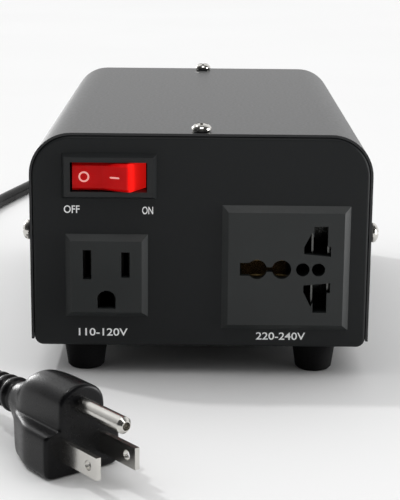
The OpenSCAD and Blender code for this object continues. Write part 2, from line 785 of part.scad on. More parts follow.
module rocker() {
  wall = rocker_wall;
  ear_d = 2 * trunnion_d;
  room = [[wall * 1.3 - skirt_end[0], skirt_end[1] - 1], [skirt_end[0] - wall * 1.3, skirt_end[1] - 1],
    [rocker_end[0] - wall * 0.9, rocker_end[1] - wall * 1.7], [0, rocker_valley - wall * 1.1],
    [wall * 0.9 - rocker_end[0], rocker_end[1] - wall * 1.7]];
  color("#c01418") in_rocker() difference() {
    union() {
      difference() {
        for (s = [0, 1]) mirror([s, 0, 0]) rocker_half();
        linear_extrude(rocker_h - 2 * wall, center = true) polygon(room);
      }
      for (s = [0, 1])
        mirror([0, 0, s]) translate([0, 0, rocker_h / 2 - wall]) {
          cylinder(d = ear_d, h = wall);
          box([-ear_d * 0.45, 0, 0], [ear_d * 0.45, skirt_end[1] + 1, wall]);
          cylinder(d = trunnion_d, h = wall + trunnion_len - 0.1);
        }
      bar_y(stem_d, -stem_below, rocker_valley - wall / 2);
    }
    bar_y(plunger_d + 2 * plunger_seat, -stem_below - 1, spring_top);
  }
}

module rocker_plunger() {
  color("#d8d4c4") in_rocker() {
    bar_y(plunger_d, plunger_tip - plunger_reach, plunger_top);
    translate([0, plunger_tip - plunger_reach, 0]) rotate([90, 0, 0])
      cylinder(d1 = plunger_d, d2 = plunger_tip, h = plunger_tip);
  }
}

module rocker_spring() {
  color("#a8a8a4") in_rocker() difference() {
    bar_y(plunger_d, plunger_top + spring_seat, spring_top - spring_seat);
    bar_y(plunger_d - 2 * spring_wall, plunger_top - 1, spring_top + 1);
  }
}

module neon_lamp() {
  lamp_d = 3.2;
  lamp_x = rocker_end[0] * 0.64;
  lamp_y = rocker_valley - 2.4;
  lamp_len = rocker_h - 2 * rocker_wall - 0.4;
  color("#f0b070") in_rocker() translate([lamp_x, lamp_y, -lamp_len / 2]) cylinder(d = lamp_d, h = lamp_len);
}

module contact_arm() {
  color("#c8862e") at_front(switch_x, switch_z) translate([0, pivot_y + arm_depth, 0]) rotate(arm_tilt)
    box([-arm_len / 2, -arm_t, -arm_w / 2], [arm_len / 2, 0, arm_w / 2]);
}

module switch_terminals() {
  seat = pivot_y + arm_depth;
  post = seat + contact_x * tan(arm_tilt) + contact_gap;
  color("#d0a850") at_front(switch_x, switch_z) {
    box_y(tab_t, arm_w, seat + contact_gap, switch_depth + tab_len);
    for (s = [-1, 1])
      translate([s * contact_x, 0, 0]) box_y(tab_t, arm_w, post, switch_depth + tab_len);
  }
}

// Low-voltage outlet
module us_socket() {
  pocket_y = face_t - us_proud;
  color("#343637") at_front(us_x, us_z) difference() {
    union() {
      bevelled_frame(us_w, us_h, us_proud, us_bevel);
      box_y(us_body_w, us_body_h, 0, us_depth);
      snap_lugs(us_body_w, 8);
    }
    for (s = [-1, 1])
      translate([s * blade_pitch / 2, 0, slot_rise]) {
        slot_h = s < 0 ? neutral_slot_h : line_slot_h;
        box_y(slot_w, slot_h, -us_proud - 1, pocket_y + 1);
        box_y(blade_t + 2 * leaf_t + 2 * pocket_room, slot_h + 2 * pocket_room, pocket_y, us_depth + 1);
      }
    translate([0, 0, earth_z]) {
      bar_y(earth_hole_w, -us_proud - 1, pocket_y + 1);
      box([flat_inset - earth_hole_w / 2, -us_proud - 1, -earth_hole_w / 2],
        [earth_hole_w / 2 - flat_inset, pocket_y + 1, 0]);
      box_y(earth_hole_w + 2 * pocket_room, earth_hole_w + 2 * pocket_room, pocket_y, us_depth + 1);
    }
  }
}

module us_socket_back() {
  color("#3c3e3f") at_front(us_x, us_z) difference() {
    box_y(us_body_w, us_body_h, us_depth, us_depth + back_t);
    for (s = [-1, 1])
      translate([s * blade_pitch / 2, 0, slot_rise]) tab_slit(us_depth);
    translate([0, 0, earth_z]) tab_slit(us_depth);
  }
}

// Contact of one blade slot: side is -1 for neutral and 1 for line
module us_blade_contact(side, slot_h) {
  color("#d0a850") at_front(us_x, us_z) translate([side * blade_pitch / 2, 0, slot_rise])
    spring_clip(blade_t + blade_play, slot_h - 2 * pocket_room, face_t - us_proud + pocket_room, us_depth);
}

module us_contact_line() { us_blade_contact(1, line_slot_h); }

module us_contact_neutral() { us_blade_contact(-1, neutral_slot_h); }

module us_contact_earth() {
  color("#d0a850") at_front(us_x, us_z) translate([0, 0, earth_z])
    spring_clip(earth_pin_d, earth_hole_w, face_t - us_proud + pocket_room, us_depth);
}

// Multi-standard outlet
module multi_socket() {
  front = -multi_proud - 1;
  pocket_y = face_t - multi_proud;
  color("#343637") at_front(multi_x, multi_z) difference() {
    union() {
      bevelled_frame(multi_w, multi_w, multi_proud, multi_bevel);
      box_y(multi_body_w, multi_body_w, 0, multi_depth);
      snap_lugs(multi_body_w, 10);
    }
    for (s = [0, 1])
      mirror([0, 0, s]) {
        translate([0, pocket_y + 1, 0]) rotate([90, 0, 0]) linear_extrude(face_t + 2) polygon(multi_slot);
        box([multi_pocket[0][0], pocket_y, multi_pocket[0][1]],
          [multi_pocket[1][0], multi_depth + 1, multi_pocket[1][1]]);
      }
    for (h = multi_holes)
      translate([h[0], 0, 0]) bar_y(2 * h[1], front, pocket_y + 1);
    for (n = [multi_notch, multi_groove])
      box([n[0][0], front, n[0][1]], [n[1][0], pocket_y + 1, n[1][1]]);
    box([multi_earth_pocket[0][0], pocket_y, multi_earth_pocket[0][1]],
      [multi_earth_pocket[1][0], multi_depth + 1, multi_earth_pocket[1][1]]);
    for (h = multi_blind_holes)
      translate([h[0], 0, 0]) bar_y(2 * h[1], front, blind_depth);
  }
}

module multi_socket_back() {
  color("#3c3e3f") at_front(multi_x, multi_z) difference() {
    box_y(multi_body_w, multi_body_w, multi_depth, multi_depth + back_t);
    for (s = [-1, 1])
      translate([multi_clip[0], 0, s * multi_clip[1]]) tab_slit(multi_depth);
    translate([multi_earth_clip_x, 0, 0]) rotate([0, 90, 0]) tab_slit(multi_depth);
  }
}

module multi_blade_contact(side) {
  color("#d0a850") at_front(multi_x, multi_z) translate([multi_clip[0], 0, side * multi_clip[1]])
    spring_clip(multi_clip_gap, multi_leaf_h, face_t - multi_proud + pocket_room, multi_depth);
}

module multi_contact_line() { multi_blade_contact(1); }

module multi_contact_neutral() { multi_blade_contact(-1); }

module multi_contact_earth() {
  color("#d0a850") at_front(multi_x, multi_z) translate([multi_earth_clip_x, 0, 0]) rotate([0, 90, 0])
    spring_clip(multi_earth_gap, multi_earth_leaf_h, face_t - multi_proud + pocket_room, multi_depth);
}

// Fuse
module fuse_holder() {
  color("#222324") at_rear(fuse_x, fuse_z) difference() {
    union() {
      bar_y(fuse_flange_d, -fuse_flange_t, 0);
      bar_y(fuse_barrel_d, 0, fuse_barrel_len);
    }
    bar_y(holder_bore_d, -fuse_flange_t - 1, fuse_barrel_len - holder_end_t);
    bar_y(contact_rod_d + 2 * thread_gap, fuse_barrel_len - holder_end_t - 1, fuse_barrel_len + 1);
  }
}

module fuse_nut() {
  color("#b9b8b4") at_rear(fuse_x, fuse_z) translate([0, sheet, 0]) rotate([-90, 0, 0])
    hex_nut(fuse_flange_d, fuse_nut_h, fuse_barrel_d + 2 * thread_gap);
}

module fuse_terminals() {
  side_x = -fuse_barrel_d / 2 - thread_gap;
  color("#c8c8c4") at_rear(fuse_x, fuse_z) {
    bar_y(contact_rod_d, fuse_len + 2 * fuse_play, fuse_barrel_len);
    box_y(tab_t, tab_h, fuse_barrel_len, fuse_barrel_len + tab_len);
    box([side_x - tab_len, side_tab_y, -tab_t / 2], [side_x, side_tab_y + tab_h, tab_t / 2]);
  }
}

module fuse_carrier() {
  color("#c8c8c4") at_rear(fuse_x, fuse_z) difference() {
    union() {
      bar_y(carrier_neck_d, -carrier_disc_t - carrier_neck_len, -carrier_disc_t);
      bar_y(carrier_d, -carrier_disc_t, clip_len);
    }
    bar_y(fuse_d + 2 * (fuse_end_t + fuse_play), 0, clip_len + 1);
  }
}

module fuse_glass() {
  color("#dfe8e8") at_rear(fuse_x, fuse_z) bar_y(fuse_d, 2 * fuse_play, fuse_len);
}

module fuse_ends() {
  color("#c8c8c4") at_rear(fuse_x, fuse_z) for (y = [fuse_play, fuse_len + fuse_play - fuse_end_len])
    difference() {
      bar_y(fuse_d + 2 * fuse_end_t, y, y + fuse_end_len);
      bar_y(fuse_d + 2 * end_gap, max(y, 2 * fuse_play) - end_gap,
        min(y + fuse_end_len + 1, fuse_len + end_gap));
    }
}

module fuse_cap() {
  face = -fuse_flange_t - cap_gap;
  color("#1e1f20") at_rear(fuse_x, fuse_z) difference() {
    bar_y(cap_d, face - fuse_cap_len, face);
    bar_y(carrier_neck_d + 2 * trunnion_gap, face - fuse_cap_len / 2, face + 1);
    box_y(cap_slot_w, cap_d * 0.7, face - fuse_cap_len - 1, face - fuse_cap_len + cap_slot_t);
    for (a = [15 : 30 : 345])
      rotate([0, a, 0]) translate([cap_d / 2, 0, 0])
        box_y(cap_groove, cap_groove, face - fuse_cap_len - 1, face - cap_slot_t);
  }
}

// Voltage selector
module selector_housing() {
  room_w = slider_plate_w + selector_travel + 2 * slider_gap;
  back = sheet + selector_ear_t;
  color("#26282a") at_rear(selector_x, selector_z) difference() {
    union() {
      box_y(selector_screw_pitch + 2 * selector_ear_end, selector_h, sheet, back);
      box_y(selector_w, selector_h, back, sheet + selector_depth);
    }
    box_y(selector_window_w, selector_window_h, 0, back + 1);
    box_y(room_w, selector_room_h, back, back + slider_plate_t + 2 * slider_gap);
    for (s = [-1, 1])
      translate([s * selector_screw_pitch / 2, 0, 0])
        bar_y(selector_screw_d + 2 * thread_gap, 0, back + 1);
  }
}

module selector_slider() {
  plate_y = sheet + selector_ear_t + slider_gap;
  color("#c01418") at_rear(selector_x - selector_travel / 2, selector_z) difference() {
    union() {
      box_y(knob_w, selector_window_h - 2 * slider_gap, -knob_proud, plate_y);
      box_y(slider_plate_w, selector_room_h - 2 * slider_gap, plate_y, plate_y + slider_plate_t);
    }
    box_y(knob_groove, selector_window_h, -1, knob_groove / 2);
  }
}

module selector_terminals() {
  back = sheet + selector_depth;
  color("#d0a850") at_rear(selector_x, selector_z) for (x = [-1, 0, 1] * selector_w / 3)
    translate([x, 0, 0]) box_y(tab_t, tab_h, back, back + tab_len);
}

module selector_screws() {
  color("#b9b8b4") at_rear(selector_x, selector_z) for (s = [-1, 1])
    translate([s * selector_screw_pitch / 2, 0, 0]) rotate([90, 0, 0])
      pan_screw(selector_screw_d, selector_screw_len, selector_screw_d * head_wide,
        selector_screw_d * head_high);
}

// Transformer
module toroid_core() {
  color("#6a6a68") translate([0, toroid_y, wind_base_z + wind_t + core_gap]) difference() {
    cylinder(r = core_inner_d / 2 + core_w, h = core_h, $fn = 96);
    translate([0, 0, -1]) cylinder(d = core_inner_d, h = core_h + 2, $fn = 96);
  }
}

// Half of the winding, starting at an angle
module winding(start) {
  a = wind_hole_r;
  b = wind_r;
  c = wind_bevel;
  color("#b4622c") translate([0, toroid_y, wind_base_z]) rotate(start)
    rotate_extrude(angle = wind_angle, $fn = 96) difference() {
      polygon([[a, c], [a + c, 0], [b - c, 0], [b, c], [b, wind_h - c], [b - c, wind_h], [a + c, wind_h],
        [a, wind_h - c]]);
      translate([core_inner_d / 2 - core_gap, wind_t]) square([core_w + 2 * core_gap, core_h + 2 * core_gap]);
    }
}

module winding_left() { winding(180 - wind_angle / 2); }

module winding_right() { winding(-wind_angle / 2); }

// Flat ring on the centre bolt
module bolt_ring(z, r, t) {
  translate([0, toroid_y, z]) difference() {
    cylinder(r = r, h = t);
    translate([0, 0, -1]) cylinder(d = bolt_d + 2 * bolt_gap, h = t + 2);
  }
}

module lower_pad() {
  color("#2c2c2e") bolt_ring(floor_z, wind_r - wind_bevel, pad_t);
}

module upper_pad() {
  color("#2c2c2e") bolt_ring(wind_top_z, clamp_r, pad_t);
}

module dish_plate() {
  color("#b9b8b4") bolt_ring(wind_top_z + pad_t, clamp_r, dish_t);
}

module centre_bolt() {
  color("#b9b8b4") translate([0, toroid_y, 0]) {
    translate([0, 0, foot_h - bolt_head_h]) cylinder(d = nut_w / cos(30), h = bolt_head_h, $fn = 6);
    translate([0, 0, foot_h]) cylinder(d = bolt_d, h = bolt_end_z - foot_h);
  }
}

module centre_nut() {
  color("#b9b8b4") translate([0, toroid_y, stack_top_z]) hex_nut(nut_w, bolt_head_h, bolt_d + 2 * thread_gap);
}

// Wires inside the case
module wire(p) {
  tube(smooth(p, 3), wire_d / 2, 8);
}

// Point over the winding at an angle and a radius about the transformer's middle
function over_winding(a, r, h) = [r * cos(a), toroid_y + r * sin(a), wind_top_z + h];

// End of a wire that comes down on the winding at an angle about the transformer's middle
function on_winding(a) = [over_winding(a, arrival_r, arrival_h), over_winding(a, joint_r, joint_h),
  over_winding(a, joint_r, wire_seat)];

// Start of a wire that runs on from a terminal's end at x, z on the front panel
function from_front(x, z, y) = [[x, y_front + y + wire_seat, foot_h + z], [x, y_front + y + 4, foot_h + z]];

module mains_wires() {
  y0 = y_rear - gland_inner - wire_seat;
  y1 = y_rear - fuse_reach;
  z1 = foot_h + fuse_z;
  z2 = floor_z + wire_d / 2 + wire_seat;
  pitch = wire_d + 0.3;
  live = [[gland_x + pitch, y0, exit_z], [gland_x + pitch, y0 - 6, exit_z],
    [gland_x + 12, y0 - 22, exit_z + 8], [fuse_x - 14, y1 + 2, z1 - 6], [fuse_x - 6, y1 - 5, z1 - 1],
    [fuse_x - 1, y1 - 6, z1], [fuse_x, y1 - 3.5, z1], [fuse_x, y1 - wire_seat, z1]];
  neutral = concat([[gland_x - pitch, y0, exit_z], [gland_x - pitch, y0 - 6, exit_z],
    [gland_x - 7, y0 - 24, exit_z + 14], over_winding(136, wind_r + 8, -6)], on_winding(136));
  earth = [[gland_x, y0, exit_z], [gland_x, y0 - 6, exit_z], [gland_x + 2, y0 - 12, exit_z - 5],
    [lug_x - 6, lug_y + lug_tongue + 13, floor_z + 6], [lug_x, lug_y + lug_tongue + 6, z2 + 0.4],
    [lug_x, lug_y + lug_tongue + wire_seat, z2]];
  color("#8a4a2a") {
    wire(live);
    wire(neutral);
    wire(earth);
  }
}

module switch_wires() {
  x0 = fuse_x - fuse_barrel_d / 2 - thread_gap - tab_len;
  y0 = y_rear - side_tab_y - tab_h / 2;
  y1 = y_rear - sheet - selector_depth - tab_len;
  z0 = foot_h + fuse_z;
  z1 = foot_h + selector_z;
  z2 = foot_h + switch_z;
  side_x = (wind_r + case_w / 2) / 2 + 0.5;
  reach = switch_depth + tab_len;
  arrival = from_front(switch_x - contact_x, switch_z, reach);
  live = [[x0 - wire_seat, y0, z0], [x0 - 5, y0, z0], [-26, y0 - 6, z0 + 8],
    [4 - side_x, toroid_y + 34, z0 + 14], [-side_x, toroid_y + 6, z0 + 14], [-side_x, toroid_y - 26, z2 - 3],
    [switch_x - contact_x - 5, y_front + reach + 14, z2], arrival[1], arrival[0]];
  load = concat(from_front(switch_x, switch_z, reach), on_winding(200));
  selected = concat([[selector_x, y1 - wire_seat, z1], [selector_x, y1 - 5, z1],
    over_winding(42, wind_r + 6, 4)], on_winding(44));
  color("#2a2a2c") {
    wire(live);
    wire(load);
    wire(selected);
  }
}

module socket_wires() {
  us_reach = us_depth + back_t + tab_len;
  multi_reach = multi_depth + back_t + tab_len;
  us_side = blade_pitch / 2;
  multi_line_x = multi_x + multi_clip[0];
  color("#3a3f8a") {
    wire(concat(from_front(us_x + us_side, us_z + slot_rise, us_reach),
      [over_winding(246, wind_r + 6, -6)], on_winding(246)));
    wire(concat(from_front(us_x - us_side, us_z + slot_rise, us_reach),
      [over_winding(228, wind_r + 12, -8)], on_winding(224)));
    wire(concat(from_front(multi_line_x, multi_z + multi_clip[1], multi_reach),
      [over_winding(-48, wind_r + 14, -4)], on_winding(-32)));
    wire(concat(from_front(multi_line_x, multi_z - multi_clip[1], multi_reach),
      [over_winding(-58, wind_r + 11, -22), over_winding(-66, wind_r + 4, 2)], on_winding(-66)));
  }
}

module earth_lug() {
  color("#c8c8c4") translate([lug_x, lug_y, floor_z]) difference() {
    union() {
      cylinder(d = lug_d, h = lug_t);
      box([-lug_tongue_w / 2, 0, 0], [lug_tongue_w / 2, lug_tongue, lug_t]);
    }
    translate([0, 0, -1]) cylinder(d = foot_screw_d + 2 * screw_gap, h = lug_t + 2);
  }
}

module earth_screw() {
  color("#b9b8b4") translate([lug_x, lug_y, floor_z + lug_t])
    pan_screw(foot_screw_d, earth_screw_len, foot_screw_d * head_wide, foot_screw_d * head_high);
}

// Strain relief with ribs on its tapered tail
module cord_gland() {
  step = gland_tail_len / gland_ribs;
  end_r = cord_r + gland_wall;
  top_r = gland_neck_d / 2 + gland_wall;
  groove_r = gland_wall * 0.8;
  ribbed = [for (i = [0 : gland_ribs - 1])
    let (r = top_r + (end_r - top_r) * i / (gland_ribs - 1), z = step * i)
    each [[r, z], [r, z + step * 0.6], [r - groove_r, z + step * 0.6], [r - groove_r, z + step]]];
  color("#151516") at_rear(gland_x, gland_z) {
    bar_y(gland_collar_d, -gland_collar_t, 0);
    bar_y(gland_neck_d, 0, gland_inner);
    bar_y(gland_neck_d + 2 * (snap_gap + lug_reach), sheet + lug_seat, gland_inner);
    translate([0, -gland_collar_t, 0]) rotate([90, 0, 0])
      rotate_extrude() polygon(concat([[0, 0]], ribbed, [[0, gland_tail_len]]));
  }
}

module cord_lead() {
  color("#161617") tube(lead_route, cord_r, 10);
}

// Coil: spirals in on the floor, climbs while it turns, and spirals out on the upper layer
function climbed(s) = let (t = min(1, max(0, (s - coil_turns / 2) / coil_climb + 0.5))) t * t * (3 - 2 * t);

function coil_point(s) =
  let (a = 180 - 360 * s, r = coil_r - coil_pitch * (coil_turns / 2 - abs(s - coil_turns / 2)))
  [coil_centre[0] + r * cos(a), coil_centre[1] + r * sin(a),
    cord_r + coil_pitch * climbed(s) + coil_lift * max(0, cos(a - tie_angle)) ^ 8];

function coil_line(steps) = [for (i = [0 : coil_turns * steps]) coil_point(i / steps)];

function coil_gap(steps) = let (p = coil_line(steps), n = len(p))
  min([for (i = [0 : n - 1]) for (j = [i + steps / 2 : n - 1]) norm(p[i] - p[j])]) - cord_d;

module cord_coil() {
  first = [coil_start - [0, coil_end, 0], coil_start - [0, coil_end / 2, 0]];
  last = [coil_start + [0, coil_end / 2, coil_pitch], coil_start + [0, coil_end, coil_pitch]];
  echo(least_gap_of_the_coil = coil_gap(48));
  color("#161617") tube(concat(first, coil_line(24), last), cord_r, 6);
}

module cord_run() {
  tail = plug_point(-plug_len - plug_tail_len - cord_seat);
  color("#161617") tube(concat(run_route, [plug_point(-plug_len - plug_tail_len - 6), tail]), cord_r, 10);
}

module cord_tie() {
  middle = coil_r - coil_pitch * 0.75;
  room_w = coil_pitch + cord_d + 2 * tie_room;
  room_h = coil_pitch + cord_d + 2 * tie_room;
  color("#2c2c2e") translate([coil_centre[0], coil_centre[1] + middle, 0]) difference() {
    box([-tie_w / 2, -room_w / 2 - tie_t, 0], [tie_w / 2, room_w / 2 + tie_t, room_h + 2 * tie_t]);
    box([-tie_w, -room_w / 2, tie_t], [tie_w, room_w / 2, room_h + tie_t]);
  }
}

// Plug: x runs along the plug from its face, positive along the blades
module in_plug() {
  translate([plug_at[0], plug_at[1], 0]) rotate(plug_turn) children();
}

function plug_point(x) = [plug_at[0] + x * cos(plug_turn), plug_at[1] + x * sin(plug_turn), plug_axis_z];

// Right half of the plug's section, from the middle of its sole up over the shoulder to the top of the dome
function plug_half(w, shoulder, dome_w, top) =
  let (dome_z = plug_blade_z + earth_drop - plug_h + top, dome_h = plug_h - plug_blade_z - earth_drop)
  concat([[0, 0], [w * 0.86, 0], [w, shoulder * 0.12], [w, shoulder * 0.5], [w, shoulder * 0.86],
    [w * 0.9, shoulder], [dome_w, shoulder + plug_edge]],
    [for (k = [0 : 5]) [dome_w * cos(18 * k), max(shoulder, dome_z) + dome_h * sin(18 * k)]]);

// Right half of a round section about the plug's axis
function round_half(r) = [for (k = [-6 : 6]) [r * cos(15 * k), plug_axis_z + r * sin(15 * k)]];

// Whole ring at x from its right half
function plug_ring(x, half) = concat([for (p = half) [x, p[0], p[1]]],
  [for (k = [len(half) - 2 : -1 : 1]) [x, -half[k][0], half[k][1]]]);

module plug_body() {
  w = plug_w / 2;
  shoulder = plug_blade_z + blade_w / 2 + plug_shoulder;
  neck = plug_tail_d / 2 + plug_taper;
  groove = plug_taper / 2;
  step = plug_tail_len / plug_rib_count;
  full = plug_half(w, shoulder, plug_dome_w / 2, plug_h);
  waist = plug_half(w - plug_waist, shoulder, plug_dome_w / 2, plug_h - plug_edge);
  slope = plug_half(w - 1.4 * plug_waist, shoulder, plug_dome_w / 2 - plug_edge, plug_h - plug_slope);
  face = [for (p = full)
    [p[0] * (1 - 2 * plug_edge / plug_w), plug_edge + p[1] * (1 - 2 * plug_edge / plug_h)]];
  body = [plug_ring(0, face), plug_ring(-plug_edge, full), plug_ring(-plug_dome_len * 0.6, full),
    plug_ring(-plug_dome_len, waist),
    plug_ring(-(plug_dome_len + plug_len) / 2, (slope + round_half(neck)) / 2),
    plug_ring(-plug_len, round_half(neck))];
  tail = [for (i = [0 : plug_rib_count - 1])
    let (x = -plug_len - step * i, r = neck - plug_taper * i / plug_rib_count)
    each [plug_ring(x - step * 0.1, round_half(r - groove)),
      plug_ring(x - step * 0.4, round_half(r - groove)),
      plug_ring(x - step * 0.5, round_half(r)), plug_ring(x - step * 0.99, round_half(r - plug_edge / 8))]];
  end = [plug_ring(-plug_len - plug_tail_len, round_half(plug_end_r))];
  rings = concat(body, tail, end);
  color("#161617") in_plug() polyhedron(points = [for (r = rings) each r],
    faces = skin_faces(len(rings), len(rings[0])), convexity = 6);
}

module plug_blades() {
  color("#c9c8c4") in_plug() for (s = [-1, 1])
    translate([0, s * blade_pitch / 2, plug_blade_z]) difference() {
      box([0, -blade_t / 2, -blade_w / 2], [blade_len, blade_t / 2, blade_w / 2]);
      translate([blade_len - blade_hole_inset, 0, 0]) rotate([90, 0, 0])
        cylinder(d = blade_hole_d, h = 4 * blade_t, center = true);
    }
}

module plug_earth_pin() {
  straight = earth_pin_len - earth_tip;
  color("#c9c8c4") in_plug() translate([0, 0, plug_blade_z + earth_drop]) rotate([0, 90, 0]) difference() {
    union() {
      cylinder(d = earth_pin_d, h = straight);
      translate([0, 0, straight])
        cylinder(d1 = earth_pin_d, d2 = earth_pin_d - earth_tip * 1.6, h = earth_tip);
    }
    translate([0, 0, earth_pin_len - earth_bore_len]) cylinder(d = earth_bore_d, h = earth_bore_len + 1);
  }
}

chassis();
top_cover();
cover_screws();
foot_front_left();
foot_front_right();
foot_rear_left();
foot_rear_right();
foot_screws();
foot_nuts();
switch_housing();
rocker();
rocker_plunger();
rocker_spring();
neon_lamp();
contact_arm();
switch_terminals();
us_socket();
us_socket_back();
us_contact_line();
us_contact_neutral();
us_contact_earth();
multi_socket();
multi_socket_back();
multi_contact_line();
multi_contact_neutral();
multi_contact_earth();
fuse_holder();
fuse_nut();
fuse_terminals();
fuse_carrier();
fuse_glass();
fuse_ends();
fuse_cap();
selector_housing();
selector_slider();
selector_terminals();
selector_screws();
toroid_core();
winding_left();
winding_right();
lower_pad();
upper_pad();
dish_plate();
centre_bolt();
centre_nut();
mains_wires();
switch_wires();
socket_wires();
earth_lug();
earth_screw();
cord_gland();
cord_lead();
cord_coil();
cord_run();
cord_tie();
plug_body();
plug_blades();
plug_earth_pin();
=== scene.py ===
"""Finishes, mains lead, plug, markings and studio for a bench-top voltage converter.

Shapes are worked out in millimetres in the model's own frame: +Z up, the front panel towards -Y."""

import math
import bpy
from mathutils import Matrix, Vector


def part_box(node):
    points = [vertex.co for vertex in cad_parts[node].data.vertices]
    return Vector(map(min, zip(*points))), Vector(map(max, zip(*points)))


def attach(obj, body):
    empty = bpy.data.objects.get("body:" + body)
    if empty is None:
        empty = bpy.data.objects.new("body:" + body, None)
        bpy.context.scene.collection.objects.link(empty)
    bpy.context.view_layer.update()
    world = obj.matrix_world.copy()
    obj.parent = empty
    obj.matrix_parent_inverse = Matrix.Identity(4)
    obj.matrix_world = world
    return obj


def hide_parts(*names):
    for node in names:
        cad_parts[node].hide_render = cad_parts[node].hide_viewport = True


bl_info = {
    "name": "Voltage Converter Finishes",
    "version": (1, 0, 0),
    "blender": (4, 5, 0),
    "location": "3D View > Sidebar > Converter",
    "description": "Dresses a bench-top mains converter in paint, plastics, lead, plug, legends and studio",
    "category": "Object",
}

import bpy
import numpy as np
from bpy.props import FloatProperty, FloatVectorProperty, IntProperty, PointerProperty
from mathutils import Matrix

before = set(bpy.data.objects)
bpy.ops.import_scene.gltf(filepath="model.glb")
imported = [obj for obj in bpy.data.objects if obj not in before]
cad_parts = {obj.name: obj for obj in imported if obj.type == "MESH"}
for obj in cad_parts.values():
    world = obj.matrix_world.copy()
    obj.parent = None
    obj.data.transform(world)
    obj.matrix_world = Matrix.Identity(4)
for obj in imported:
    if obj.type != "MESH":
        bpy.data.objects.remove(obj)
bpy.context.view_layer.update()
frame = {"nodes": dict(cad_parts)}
MM = 0.001
METAL = {"Metallic": 1.0}
# Part of the noise textures' range that holds nearly all of it, and the strength of a grain's bump.
NOISE_LOW, NOISE_HIGH = 0.3, 0.7
GRAIN_STRENGTH = 0.6
# Painted shade in the grooves between wound wires or strips, as a share of the colour.
GROOVE_PAINTED_SHADE = 0.55


def linear(code):
    """Linear red, green and blue of an sRGB hex colour."""
    s = np.array([int(code[i : i + 2], 16) for i in (0, 2, 4)]) / 255
    return tuple(np.where(s <= 0.04045, s / 12.92, ((s + 0.055) / 1.055) ** 2.4).tolist())


def corners(node):
    """Lowest and highest corner of a solid, in millimetres."""
    low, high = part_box(node)
    return np.array(low) / MM, np.array(high) / MM


def colour(name, description, code):
    """Colour setting with an sRGB hex default."""
    return FloatVectorProperty(
        name=name, description=description, subtype="COLOR", size=3, min=0, max=1, default=linear(code)
    )


def number(name, description, default, **more):
    """Number setting with its default, and more such as limits and a unit."""
    return FloatProperty(name=name, description=description, default=default, **more)


class ConverterFinishes(bpy.types.PropertyGroup):
    """Colours of the converter's surfaces."""

    cover: colour("Cover", "Powder coat on the folded cover", "1a1b1d")
    panel: colour("Panels", "Powder coat on the front and rear panels", "191b1c")
    socket: colour("Outlets", "Moulded outlet faces", "222525")
    frame: colour("Switch frame", "Moulded frame of the switch", "1d1f20")
    rocker: colour("Rocker", "Translucent red rocker", "d2080a")
    ink: colour("Legends", "Printed legends and marks", "fafafa")
    rubber: colour("Feet", "Rubber feet", "050506")
    lead: colour("Lead", "Sheath of the mains lead", "060606")
    plug: colour("Plug", "Moulded plug", "08080a")
    nickel: colour("Nickel", "Plated screws and pins", "cfcdc8")
    # Brass darkened as painted shade, for contacts seen deep in the outlets' holes.
    brass: colour("Brass", "Spring contacts and terminals", "6b5a3c")
    copper: colour("Copper", "Enamelled winding wire", "a8572a")


class ConverterSizes(bpy.types.PropertyGroup):
    """Sizes of the added pieces, in millimetres where no unit is given."""

    lead_d: number("Lead diameter", "Diameter of the mains lead", 6.0, min=4, max=8)
    coil_r: number("Coil radius", "Outer radius of the coil's centreline", 37.0, min=20)
    coil_pitch: number("Coil pitch", "Step between turns and layers", 6.6, min=5)
    coil_turns: IntProperty(
        name="Coil turns", description="Turns of the coil over both layers", default=3, min=1
    )
    legend_h: number("Legend height", "Height of the printed capitals", 2.6, min=1)
    mark_w: number("Mark width", "Stroke of the marks on the rocker", 0.558, min=0.2)
    tilt: number("Rocker tilt", "Angle of the rocker to each side", math.radians(11), subtype="ANGLE")
    pivot: number("Pivot depth", "Pivot behind the pressed half's face", 12.0, min=5)


class ConverterStudio(bpy.types.PropertyGroup):
    """Camera and lamps."""

    eye: FloatVectorProperty(
        name="Camera",
        description="Place of the camera",
        subtype="XYZ",
        unit="LENGTH",
        default=(0.00109, -0.57522, 0.15867),
    )
    pitch: number("Pitch", "Camera's angle below level", 0.2362, subtype="ANGLE")
    yaw: number("Yaw", "Camera's turn to the right", -0.0026, subtype="ANGLE")
    roll: number("Roll", "Camera's turn about its axis", 0.0087, subtype="ANGLE")
    lens: number("Lens", "Focal length on a 36 mm sensor", 107.23, min=20)
    sun: number("Key light", "Strength of the key light", 0.65, min=0)
    sky: number("Surround", "Strength of the white surround on matt surfaces", 1.47, min=0)
    room: number("Room", "Share of the surround's light from behind the camera", 0.14, min=0)
    low: number("Low surround", "Share of the surround's light that comes in level", 0.05, min=0)
    dim: number("Dim room", "Strength of the room that shiny surfaces mirror", 0.05, min=0)
    back: number("Back light", "Power of the soft light behind on the left", 4.0, unit="POWER", min=0)
    side: number("Side light", "Power of the soft light on the right", 2.7, unit="POWER", min=0)
    top: number("Top light", "Power of the soft light above the camera", 0.9, unit="POWER", min=0)


def add(tree, kind, inputs=(), stops=(), **settings):
    """One shader node with its settings; each input is a plain value or another node's output."""
    node = tree.nodes.new(kind)
    for name, value in settings.items():
        setattr(node, name, value)
    for name, value in dict(inputs).items():
        if isinstance(value, bpy.types.NodeSocket):
            tree.links.new(value, node.inputs[name])
        else:
            node.inputs[name].default_value = value
    for element, (place, rgb) in zip(node.color_ramp.elements if stops else (), stops):
        element.position = place
        element.color = (*rgb, 1)
    return node


def blank(name):
    """New empty material and its node tree."""
    made = bpy.data.materials.new(name)
    made.use_nodes = True
    made.node_tree.nodes.clear()
    return made, made.node_tree


